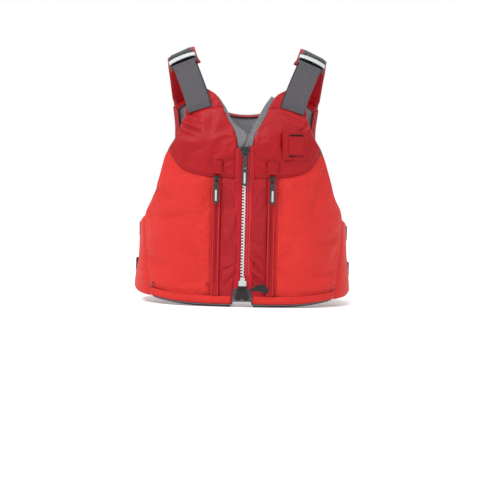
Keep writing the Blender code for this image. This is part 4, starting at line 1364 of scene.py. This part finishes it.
def make_slider(name: str, matrix: Matrix, scale: float, channel: bool) -> bpy.types.Object:
    """A zip slider: shaped front plate, back plate round a post, and the bail on top.

    Args:
        name: the CAD node and body that it stands for.
        matrix: frame on the zip line.
        scale: its size against the main slider.
        channel: whether it has a back plate and post.

    Returns:
        The slider, riding on its body.
    """
    plate = [(-0.0062, 0.0075), (0.0062, 0.0075), (0.0078, 0.0052), (0.0076, 0.0010),
             (0.0058, -0.0035), (0.0054, -0.0075), (-0.0054, -0.0075), (-0.0058, -0.0035),
             (-0.0076, 0.0010), (-0.0078, 0.0052)]
    plate = [(x * scale, z * scale) for x, z in plate]
    parts = [Bench.prism(name, plate, -0.0042, -0.0020, 0.0006)]
    if channel:
        parts.append(Bench.prism("back_plate", plate, 0.0019, 0.0031, 0.0004))
        post = Bench.block("post", (0.0009, 0.0045, 0.0050), 0.0002, 1)
        parts.append(Bench.put(post, Matrix.Translation((0, 0, 0.0045))))
    arch = [(-0.0036, 0.0052), (-0.0064, 0.0050), (-0.0086, 0.0040), (-0.0096, 0.0022),
            (-0.0096, -0.0022), (-0.0086, -0.0040), (-0.0064, -0.0050), (-0.0036, -0.0052),
            (-0.0036, -0.0034), (-0.0060, -0.0034), (-0.0078, -0.0024), (-0.0084, -0.0010),
            (-0.0084, 0.0010), (-0.0078, 0.0024), (-0.0060, 0.0034), (-0.0036, 0.0034)]
    parts.append(Bench.prism("bail", arch, -0.0013, 0.0013, 0.0005, (1, 2)))
    made = Bench.join(name, parts)
    Bench.put(made, matrix)
    return dress(made, ENAMEL, name, name)


def make_pull(name: str, matrix: Matrix, width: float, length: float) -> bpy.types.Object:
    """A pull: a wire link through the bail and a moulded tab with a pale inset strip.

    Args:
        name: the CAD node and body that it stands for.
        matrix: frame whose origin is the hinge and whose Z runs up.
        width: the tab's width.
        length: from the hinge to the tab's end.

    Returns:
        The pull's dark part, riding on its body.
    """
    half, start = width / 2, -0.0060 if length < 0.05 else -0.0215
    link = [(-0.0036, 0.0012), (0.0036, 0.0012), (0.0034, start - 0.0040),
            (-0.0034, start - 0.0040)]
    loop = Bench.prism(name, link, -0.0009, 0.0009, 0.0004)
    window = Bench.block("window", (0.0044, 0.0060, 0.0052), 0.0008, 2)
    Bench.put(window, Matrix.Translation((0, 0, -0.0036)))
    Bench.cut(loop, window)
    outline = [(-half * 0.70, start), (half * 0.70, start), (half * 0.96, start - 0.0030),
               (half * 0.90, start - 0.0100), (half, 0.012 - length), (half * 0.97, 0.003 - length),
               (half * 0.80, -length), (-half * 0.80, -length), (-half * 0.97, 0.003 - length),
               (-half, 0.012 - length), (-half * 0.90, start - 0.0100),
               (-half * 0.96, start - 0.0030)]
    tab = Bench.prism("tab", outline, -0.0012, 0.0010, 0.0006)
    eye = Bench.block("eye", (0.0036, 0.0060, 0.0026), 0.0008, 2)
    Bench.cut(tab, Bench.put(eye, Matrix.Translation((0, 0, start - 0.0055))))
    inset = Bench.block("inset", (width * 0.56, 0.0010, 0.0210), 0.0004, 2)
    middle = 0.0128 - length
    Bench.put(inset, Matrix.Translation((0, -0.0013, middle)))
    Bench.cut(tab, inset)
    made = Bench.join(name, [loop, tab])
    Bench.put(made, matrix)
    dress(made, BLACK, name, name)
    strip = Bench.block(f"{name}_strip", (width * 0.34, 0.0008, 0.0176), 0.0003, 2)
    Bench.put(strip, matrix @ Matrix.Translation((0, -0.0009, middle)))
    dress(strip, PALE, name)
    return made


@dataclass
class PocketZip:
    """A pocket zip: its slit, slider, pull and the garage patch above it."""

    side: int
    word: str
    slider_height: float = 0.2085
    pull_length: float = 0.040

    def build(self) -> None:
        """Makes the pocket zip's pieces."""
        matrix = mirrored(self.frame_at(self.slider_height), self.side)
        lifted = matrix @ Matrix.Translation((0, 0.0004, 0))
        make_slider(f"pocket_slider_{self.word}", lifted, 0.62, False)
        hook = lifted @ HOOK
        make_pull(f"pocket_pull_{self.word}", hook, 0.0090, self.pull_length)
        self.slit()
        self.garage()

    @staticmethod
    def frame_at(height: float) -> Matrix:
        """Frame on the pocket zip's straight line at a height."""
        return zip_matrix(POCKET_MIDDLE, height, ZIP_HIGH)

    def slit(self) -> None:
        """Coil in the slit between the flat band and the welt, dark as the painted shadow of the slit."""
        frames = []
        for z in np.linspace(0.024, 0.2065, 50):
            normal = Form.outward(Form.front, 0.0449, z)
            spot = Form.front(0.0449, z) - normal * 0.0008
            frames.append((spot, Vector((1, 0, 0)), normal))
        coil = Ribbon(f"pocket_coil_and_slit_shadow_{self.word}", flipped(frames, self.side), 0.0012, 0.0010,
                      2.0, 10).build()
        dress(coil, COIL_AND_SLIT_SHADOW, f"front_{self.word}")
        for name, x in (("welt", 0.0492), ("inner_welt", 0.0402)):
            frames = []
            for z in np.linspace(0.0200, 0.2105, 60):
                normal = Form.outward(Form.front, x, z)
                frames.append((Form.front(x, z) + normal * 0.0003, Vector((1, 0, 0)), normal))
            cord = Ribbon(f"pocket_{name}_{self.word}", flipped(frames, self.side), 0.0026,
                          0.0024, 2.0, 12).build()
            dress(cord, WELT, f"front_{self.word}")

    def garage(self) -> None:
        """Small stitched patch on the yoke that the slider parks under."""
        normal = Form.outward(Form.front, POCKET_MIDDLE, 0.2270)
        place = Form.front(POCKET_MIDDLE, 0.2270) + normal * 0.0018
        matrix = mirrored(upright(place, Vector((0, 0, 1)), normal), self.side)
        patch = Bench.block(f"zip_garage_{self.word}", (0.0178, 0.0030, 0.0215), 0.0009, 3)
        Bench.put(patch, matrix)
        dress(patch, NYLON, f"front_{self.word}")
        corners = [(-0.0075, -0.0098), (-0.0075, 0.0094), (0.0075, 0.0094), (0.0075, -0.0098)]
        row = [(matrix @ Vector((x, -0.0016, z)), -(matrix.to_3x3() @ Vector((0, 1, 0))))
               for a, b in zip(corners, corners[1:])
               for x, z in (np.array(a) + (np.array(b) - np.array(a)) * s
                            for s in np.linspace(0, 1, 8))]
        dress(Stitches.sew(f"garage_stitches_{self.word}", [row]), THREAD, f"front_{self.word}")


@dataclass
class Shoulder:
    """A shoulder: doubled webbing, its buckle and the padded back shoulder."""

    side: int
    word: str
    strap_width: float = 0.038
    pad_width: float = 0.050

    def build(self) -> None:
        """Makes the shoulder's pieces."""
        self.webbing()
        self.pad()
        self.buckle()

    def frames(self, stops: Sequence[tuple[float, float]], shift: float = 0.0) -> list:
        """Frames along the shoulder line from (share, lift) stops, shifted across."""
        shares = np.linspace(0, 1, 44)
        knots = np.linspace(0, 1, len(stops))
        found = []
        for s in shares:
            share = float(np.interp(s, knots, [stop[0] for stop in stops]))
            lift = float(np.interp(s, knots, [stop[1] for stop in stops]))
            middle, _, across, normal = strap_frame(share)
            found.append((middle + normal * lift + across * shift, across, normal))
        return flipped(found, self.side)

    def webbing(self) -> None:
        """Upper and lower layers of the strap."""
        upper = [(0.0, -0.0016), (0.03, 0.0022), (0.08, 0.0030), (0.14, 0.0034), (0.20, 0.0034),
                 (0.26, 0.0036), (0.30, 0.0044), (0.330, 0.0062), (0.350, 0.0078), (0.362, 0.0072),
                 (0.370, 0.0048)]
        lower = [(0.0, -0.0030), (0.03, 0.0004), (0.08, 0.0013), (0.14, 0.0015), (0.20, 0.0015),
                 (0.26, 0.0014), (0.30, 0.0010), (0.330, 0.0002), (0.350, -0.0002), (0.362, 0.0),
                 (0.370, 0.0010)]
        # The lower layer gets the darker webbing colour: painted shade under the upper layer.
        pairs = (("shoulder_strap", upper, WEBBING, 0.0, 0.0018),
                 ("shoulder_strap_under", lower, SHADED_WEBBING, -0.0022, 0.0016))
        for name, stops, finish, shift, thick in pairs:
            strap = Ribbon(f"{name}_{self.word}", self.frames(stops, shift), self.strap_width,
                           thick, 9.0, 32).build()
            nodes = ()
            if finish is WEBBING:
                nodes = (f"shoulder_strap_{self.word}", f"shoulder_strap_top_{self.word}")
            dress(strap, finish, "", *nodes)
            self.side * 0.1115
            self.side * 0.093
            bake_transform(strap)

    def pad(self) -> None:
        """Padded back shoulder, wider than the strap, with ears beside the buckle and a dark loop."""
        shares = np.linspace(0.350, 1.0, 46)
        frames, widths, thicks = [], [], []
        for share in shares:
            middle, _, across, normal = strap_frame(float(share))
            wave = 0.0005 * noise.noise(middle * 40.0 + Vector((self.side * 3.0, 0, 0)))
            frames.append((middle + normal * (wave - 0.0030), across, normal))
            end = min(1.0, (share - 0.345) / 0.05)
            widths.append(self.pad_width * (1.10 - 0.10 * end))
            thicks.append(0.0042 + 0.0024 * end)
        last = frames[-1][0]
        for drop in np.linspace(0.15, 1.0, 10):
            z = 0.3545 - 0.034 * float(drop)
            x = 0.106 - 0.002 * float(drop)
            normal = Form.outward(Form.back, x, z)
            target = Form.back(x, z) - normal * (0.0035 + 0.002 * float(drop))
            share = min(1.0, float(drop) * 2.2)
            middle = Vector((last.x, last.y, z)).lerp(target, share)
            frames.append((middle, frames[45][1].lerp(Vector((1, 0, 0)), share).normalized(),
                           frames[45][2].lerp(normal, share).normalized()))
            widths.append(self.pad_width - 0.004 * share)
            thicks.append(0.0066)
        pad = Ribbon(f"back_shoulder_{self.word}", flipped(frames, self.side), widths, thicks,
                     3.2, 32).build()
        dress(pad, NYLON, "back", f"back_shoulder_{self.word}")
        loop = [(0.415, 0.0080), (0.432, 0.0066), (0.45, 0.0030), (0.47, 0.0012), (0.53, 0.0012)]
        strap = Ribbon(f"buckle_loop_{self.word}", self.frames(loop), 0.036, 0.0016, 9.0, 28)
        dress(strap.build(), BLACK, "back")

    def buckle(self) -> None:
        """Two-slot buckle: black frame, a ribbed ridge at its rear and a pale curved bar."""
        middle, direction, across, normal = strap_frame(BUCKLE_SHARE)
        axes = Matrix((across, direction, normal)).transposed().to_4x4()
        matrix = Matrix.Translation(middle + normal * 0.00345) @ axes
        matrix = mirrored(matrix, self.side)
        name = f"shoulder_buckle_{self.word}"
        body = Bench.block(name, (0.046, 0.031, 0.0045), 0.0014, 3)
        for place in (-0.0065, 0.0065):
            slot = Bench.block("slot", (0.039, 0.0062, 0.02), 0.0008, 2)
            Bench.cut(body, Bench.put(slot, Matrix.Translation((0, place, 0))))
        ridge = Bench.block("ridge", (0.040, 0.0076, 0.0064), 0.0012, 2)
        bumps = [Bench.put(ridge, Matrix.Translation((0, 0.0088, 0.0036)))]
        for k in range(5):
            bump = Bench.rod(f"bump_{k}", 0.0021, 0.0070, "Y", 16)
            bumps.append(Bench.put(bump, Matrix.Translation(((k - 2) * 0.0078, 0.0088, 0.0064))))
        body = Bench.join(name, [body] + bumps)
        Bench.put(body, matrix)
        dress(body, BLACK, name, name)
        self.bar(matrix, name)

    def bar(self, matrix: Matrix, body: str) -> None:
        """Pale bar that arches over the buckle from side to side."""
        spots = [(math.sin(a) * 0.0232, 0.0026 + 0.0042 * math.cos(a)) for a in
                 np.linspace(-1.45, 1.45, 22)]
        frames = [(matrix @ Vector((x, 0.0002, z)), matrix.to_3x3() @ Vector((0, 1, 0)),
                   matrix.to_3x3() @ Vector((x * 6.0, 0, 1.0)).normalized()) for x, z in spots]
        bar = Ribbon(f"buckle_bar_{self.word}", frames, 0.0086, 0.0036, 3.0, 20).build()
        dress(bar, PALE, body)


@dataclass
class SideStraps:
    """The side straps of one side, with their ladder adjusters."""

    side: int
    word: str
    width: float = 0.025
    levels: tuple[tuple[str, float], ...] = (("upper", 0.118), ("lower", 0.056))

    def build(self) -> None:
        """Makes both straps and adjusters."""
        for level, height in self.levels:
            self.strap(level, height)
            self.adjuster(level, height)

    def run(self, low: float, high: float, height: float, lifts: tuple[float, float]) -> list:
        """Frames round the form between two turns, with the lift at both ends."""
        found = []
        for share in np.linspace(0, 1, 24):
            turn = low + share * (high - low)
            normal = Form.outward(Form.around, turn, height)
            lift = lifts[0] + share * (lifts[1] - lifts[0])
            found.append((Form.around(turn, height) + normal * lift, Vector((0, 0, 1)), normal))
        return flipped(found, self.side)

    def strap(self, level: str, height: float) -> None:
        """Webbing from the wing to the adjuster, and its anchor on the back."""
        name = f"side_strap_{level}_{self.word}"
        strap = Ribbon(name, self.run(93.0, 122.5, height, (0.0021, 0.0030)), self.width, 0.0016,
                       9.0, 28).build()
        dress(strap, WEBBING, "back", name)
        anchor = Ribbon(f"side_anchor_{level}_{self.word}",
                        self.run(133.5, 146.0, height, (0.0036, 0.0014)), self.width, 0.0016,
                        9.0, 28).build()
        dress(anchor, WEBBING, "back")
        rows = []
        for turn in (94.5, 98.0):
            rows.append([(spot + normal * 0.0007, normal) for spot, normal in
                         self.across(turn, height, 0.0021)])
        dress(Stitches.sew(f"side_stitches_{level}_{self.word}", rows), BLACK_THREAD, "back")

    def across(self, turn: float, height: float, lift: float) -> list[tuple[Vector, Vector]]:
        """A line across the strap at a turn."""
        found = []
        for z in np.linspace(height - 0.010, height + 0.010, 10):
            normal = Form.outward(Form.around, turn, z)
            spot = Form.around(turn, z) + normal * lift
            found.append((Vector((spot.x * self.side, spot.y, spot.z)),
                          Vector((normal.x * self.side, normal.y, normal.z))))
        return found

    def adjuster(self, level: str, height: float) -> None:
        """Ladder adjuster: a rounded frame with two slots and a gripping middle bar."""
        normal = Form.outward(Form.around, 128.0, height)
        place = Form.around(128.0, height) + normal * 0.0042
        matrix = mirrored(upright(place, Vector((0, 0, 1)), normal), self.side)
        name = f"side_adjuster_{level}_{self.word}"
        body = Bench.block(name, (0.030, 0.0040, 0.032), 0.0013, 3)
        for x in (-0.0065, 0.0065):
            slot = Bench.block("slot", (0.005, 0.02, 0.0262), 0.0008, 2)
            Bench.cut(body, Bench.put(slot, Matrix.Translation((x, 0, 0))))
        ribs = []
        for k in range(3):
            rib = Bench.rod(f"rib_{k}", 0.0007, 0.024, "Z", 10)
            ribs.append(Bench.put(rib, Matrix.Translation(((k - 1) * 0.0022, -0.0020, 0))))
        body = Bench.join(name, [body] + ribs)
        Bench.put(body, matrix)
        dress(body, BLACK, name, name)


@dataclass
class ChestPatches:
    """Lash tab on the left chest and the leaf flap over the pocket's drain."""

    size: float = 0.046
    slot_height: float = 0.017

    def build(self) -> None:
        """Makes both patches."""
        self.lash_tab()
        self.leaf()

    def lash_tab(self) -> None:
        """Square tab with two pointed slots round a raised square of webbing."""
        normal = Form.outward(Form.front, 0.0815, 0.2635)
        place = Form.front(0.0815, 0.2635) + normal * 0.0016
        matrix = upright(place, Vector((0, 0, 1)), normal)
        base = Bench.block("lash_tab", (self.size, 0.0018, self.size), 0.0007, 3)
        for z in (-self.slot_height, self.slot_height):
            half = 0.0125
            outline = [(-half, z), (-half + 0.0022, z + 0.0014), (half - 0.0022, z + 0.0014),
                       (half, z), (half - 0.0022, z - 0.0014), (-half + 0.0022, z - 0.0014)]
            Bench.cut(base, Bench.prism("slot", outline, -0.01, 0.01, 0.0))
        Bench.put(base, matrix)
        dress(base, NYLON, "front_left", "lash_tab")
        frames = [(matrix @ Vector((0, -0.0015, z)), matrix.to_3x3() @ Vector((1, 0, 0)),
                   matrix.to_3x3() @ Vector((0, -1, 0))) for z in np.linspace(-0.0145, 0.0145, 12)]
        square = Ribbon("lash_webbing", frames, 0.0255, 0.0016, 9.0, 28).build()
        dress(square, NYLON, "front_left")
        dark = Bench.block("lash_slot_lining", (0.030, 0.0006, 0.040), 0.0002, 1)
        Bench.put(dark, matrix @ Matrix.Translation((0, 0.0012, 0)))
        dress(dark, PATCH, "front_left")
        rows = [self.row(matrix, corner, 0.0204) for corner in (0,)]
        rows += [self.line(matrix, (-0.0125, z), (0.0125, z)) for z in (-0.0125, 0.0125)]
        dress(Stitches.sew("lash_stitches", rows), THREAD, "front_left")

    @staticmethod
    def line(matrix: Matrix, start: tuple[float, float], end: tuple[float, float],
             lift: float = 0.0024) -> list[tuple[Vector, Vector]]:
        """A straight row on the tab's face."""
        out = -(matrix.to_3x3() @ Vector((0, 1, 0)))
        found = []
        for share in np.linspace(0, 1, 16):
            x = start[0] + share * (end[0] - start[0])
            z = start[1] + share * (end[1] - start[1])
            found.append((matrix @ Vector((x, -lift, z)), out))
        return found

    def row(self, matrix: Matrix, lift: float, half: float) -> list[tuple[Vector, Vector]]:
        """A row of stitches round the tab, just inside its edge."""
        corners = [(-half, -half), (half, -half), (half, half), (-half, half), (-half, -half)]
        return [spot for a, b in zip(corners, corners[1:])
                for spot in self.line(matrix, a, b, lift + 0.0010)]

    @staticmethod
    def leaf() -> None:
        """Leaf of black film by the zip's foot."""
        normal = Form.outward(Form.front, 0.029, 0.030)
        place = Form.front(0.029, 0.030) + normal * 0.0004
        matrix = upright(place, Vector((0, 0, 1)), normal)
        outline = [(-0.0182, -0.0016), (-0.0110, 0.0030), (-0.0050, 0.0062), (0.0, 0.0078),
                   (0.0050, 0.0078), (0.0095, 0.0056), (0.0130, 0.0012), (0.0140, -0.0015),
                   (0.0125, -0.0062), (0.0100, -0.0074), (0.0040, -0.0046), (-0.0040, -0.0032)]
        leaf = Bench.prism("drain_flap", outline, -0.0014, -0.0004, 0.0003)
        Bench.put(leaf, matrix)
        dress(leaf, FILM, "front_left", "drain_flap")


@dataclass
class Back:
    """The back: upper and lower panels, hem, lining and seams."""

    tailor: Tailor

    def build(self) -> None:
        """Makes every soft piece of the back but the shoulders."""
        self.upper()
        self.lower()
        self.hem()
        self.lining()
        self.seams()

    @staticmethod
    def both(line: Line) -> tuple[Line, Line]:
        """An edge line on the right and its mirror on the left, both upwards."""
        return line, tuple((-x, z) for x, z in line)

    def sewn(self, name: str, outline: tuple, finish: Finish, nodes: Sequence[str],
             **settings: object) -> None:
        """Takes one back panel to the tailor and dresses it."""
        panel = Panel(name, outline, Form.back, 1, **settings)
        dress(self.tailor.take(panel), finish, "back", *nodes)

    def upper(self) -> None:
        """Upper back yoke."""
        right, left = self.both(BACK_ARM)
        creases = (Crease((-0.10, 0.230), (-0.06, 0.250), 0.008, 0.0014),
                   Crease((0.11, 0.300), (0.07, 0.285), 0.006, 0.0014),
                   Crease((-0.11, 0.310), (-0.08, 0.290), 0.006, 0.0016),
                   Crease((-0.02, 0.316), (0.01, 0.260), 0.010, 0.0010))
        self.sewn("back_yoke", (BACK_SEAM, right, BACK_TOP, left), NYLON, ["back_shell"],
                  count=(90, 44), creases=creases, waver=0.0014,
                  edges=Edges(high=0.012, first=0.012, last=0.012, corner=0.007))

    def lower(self) -> None:
        """Lower back panel."""
        right, left = self.both(BACK_EDGE[1:])
        foot = (left[0], (-0.075, HEM_BAND), (0.0, HEM_BAND), (0.075, HEM_BAND), right[0])
        creases = (Crease((-0.05, 0.080), (0.06, 0.074), 0.010, 0.0012),
                   Crease((0.04, 0.150), (0.10, 0.165), 0.009, 0.0012))
        self.sewn("back_lower", (foot, right, BACK_SEAM, left), RIPSTOP, [], count=(96, 64),
                  creases=creases, waver=0.0014, edges=Edges())

    def hem(self) -> None:
        """Hem band of the back, which turns under, and its binding, in the lining's grey darkened as
        painted shade.
        """
        xs = (-0.1485, -0.11, -0.06, 0.0, 0.06, 0.11, 0.1485)
        low = [(x, Form.hem(x) + 0.0035) for x in xs]
        top = [(-0.1492, 0.0255), (-0.075, HEM_BAND), (0.0, HEM_BAND), (0.075, HEM_BAND),
               (0.1492, 0.0255)]
        outline = (low, (low[-1], top[-1]), top, (low[0], top[0]))
        self.sewn("hem_back", outline, RIPSTOP, ["hem_back"], count=(100, 8), waver=0.0006,
                  loose=0.01, edges=Edges(low=0.013, corner=0.007, valley=0.0016, slope=0.004))
        foot = [(x, Form.hem(x)) for x in xs]
        high = [(x, z + 0.0045) for x, z in foot]
        panel = Panel("hem_binding_back", (foot, (foot[-1], high[-1]), high, (foot[0], high[0])),
                      Form.back, 1, (90, 2), Edges(low=0.003, corner=0.002, valley=0.0),
                      -0.0075, 0.0004, thick=0.003)
        made = panel.build()
        thicken(made, panel.thick)
        dress(made, SHADED_BINDING, "back")

    def lining(self) -> None:
        """Grey lining over the body side of the back foam."""
        edge = [(0.146, 0.010)] + [(x - 0.003, z) for x, z in BACK_EDGE[2:] + BACK_ARM[1:]]
        right, left = self.both(edge)
        foot = [(x, Form.hem(x) + 0.004) for x in (-0.146, -0.075, 0.0, 0.075, 0.146)]
        foot[0], foot[-1] = left[0], right[0]
        top = [(x * 0.98, z - 0.002) for x, z in BACK_TOP]
        top[0], top[-1] = left[-1], right[-1]
        panel = Panel("back_lining", (foot, right, top, left), Form.back, 1, (54, 60),
                      Edges(valley=0.0), 0.0, 0.0010, inward=foam_depth(0.031, 0.003),
                      thick=0.0012, crowd=0.7)
        made = panel.build()
        thicken(made, panel.thick)
        dress(made, LINING, "back", "back_lining", "back_foam")

    def seams(self) -> None:
        """Stitched rows along the back's seams."""
        band = ((-0.147, 0.029), (-0.075, 0.0215), (0.0, 0.0215), (0.075, 0.0215), (0.147, 0.029))
        rows = [on_form(offset_line(BACK_SEAM, -0.0042), 1, Form.back, 0.0012, 110),
                on_form(offset_line(BACK_SEAM, 0.0042), 1, Form.back, 0.0012, 110),
                on_form(band, 1, Form.back, 0.0012, 110)]
        dress(Stitches.sew("back_stitches", rows), THREAD, "back")


@dataclass
class Studio:
    """Pale floor, soft lights and the camera."""

    lens: float = 132.6
    place: tuple[float, float, float] = (-0.006, -2.989, 0.238)
    aim: tuple[float, float, float] = (-0.006, 0.0, 0.1045)
    roll: float = 1.3

    def build(self) -> None:
        """Makes the studio."""
        self.floor()
        self.light("key", (-1.4, -1.5, 2.1), 0.6, 44.0)
        self.light("fill", (1.6, -2.0, 0.7), 1.2, 6.0)
        self.light("top", (0.1, -0.4, 2.3), 0.7, 16.0)
        self.camera()
        world = bpy.context.scene.world or bpy.data.worlds.new("studio")
        bpy.context.scene.world = world
        world.use_nodes = True
        shade = world.node_tree.nodes["Background"]
        shade.inputs["Color"].default_value = (1.0, 1.0, 1.0, 1.0)
        shade.inputs["Strength"].default_value = 1.0
        bpy.context.scene.view_settings.view_transform = "Standard"

    @staticmethod
    def floor() -> None:
        """Plain pale floor under the hem."""
        Bench.begin()
        bpy.ops.mesh.primitive_plane_add(size=30.0, location=(0, 0, -0.0004))
        plane = bpy.context.object
        plane.name = "floor"
        recipe = Recipe("pale floor")
        recipe.feed(recipe.shader.inputs["Base Color"], (0.93, 0.93, 0.93, 1.0))
        recipe.feed(recipe.shader.inputs["Roughness"], 0.9)
        recipe.feed(recipe.shader.inputs["Emission Color"], (1.0, 1.0, 1.0, 1.0))
        recipe.feed(recipe.shader.inputs["Emission Strength"], 0.12)
        plane.data.materials.append(recipe.material)

    @staticmethod
    def light(name: str, place: tuple[float, float, float], size: float, power: float) -> None:
        """A soft square light that faces the jacket."""
        data = bpy.data.lights.new(name, "AREA")
        data.size = size
        data.energy = power
        lamp = bpy.data.objects.new(name, data)
        bpy.context.scene.collection.objects.link(lamp)
        lamp.location = place
        lamp.rotation_euler = (Vector((0, 0, 0.2)) - Vector(place)).to_track_quat("-Z", "Y").to_euler()

    def camera(self) -> None:
        """Camera in front, slightly above, turned a little in its own plane."""
        data = bpy.data.cameras.new("camera")
        data.lens, data.sensor_width = self.lens, 36.0
        camera = bpy.data.objects.new("camera", data)
        bpy.context.scene.collection.objects.link(camera)
        look = (Vector(self.aim) - Vector(self.place)).to_track_quat("-Z", "Y").to_matrix()
        turn = Matrix.Rotation(math.radians(self.roll), 3, "Z")
        camera.matrix_world = Matrix.Translation(self.place) @ (look @ turn).to_4x4()
        bpy.context.scene.camera = camera


def main() -> None:
    """Builds the jacket and the studio, logging each piece with its body."""
    logging.basicConfig(level=logging.INFO, format="%(name)s: %(message)s")
    tailor = Tailor()
    halves = [FrontHalf(side, word, tailor) for side, word in SIDES]
    for half in halves:
        half.build()
    MainZip().build()
    for side, word in SIDES:
        PocketZip(side, word).build()
        Shoulder(side, word).build()
        SideStraps(side, word).build()
    ChestPatches().build()
    Back(tailor).build()
    tailor.finish()
    for half in halves:
        half.bend_wing()
    Studio().build()


if __name__ == "__main__":
    main()
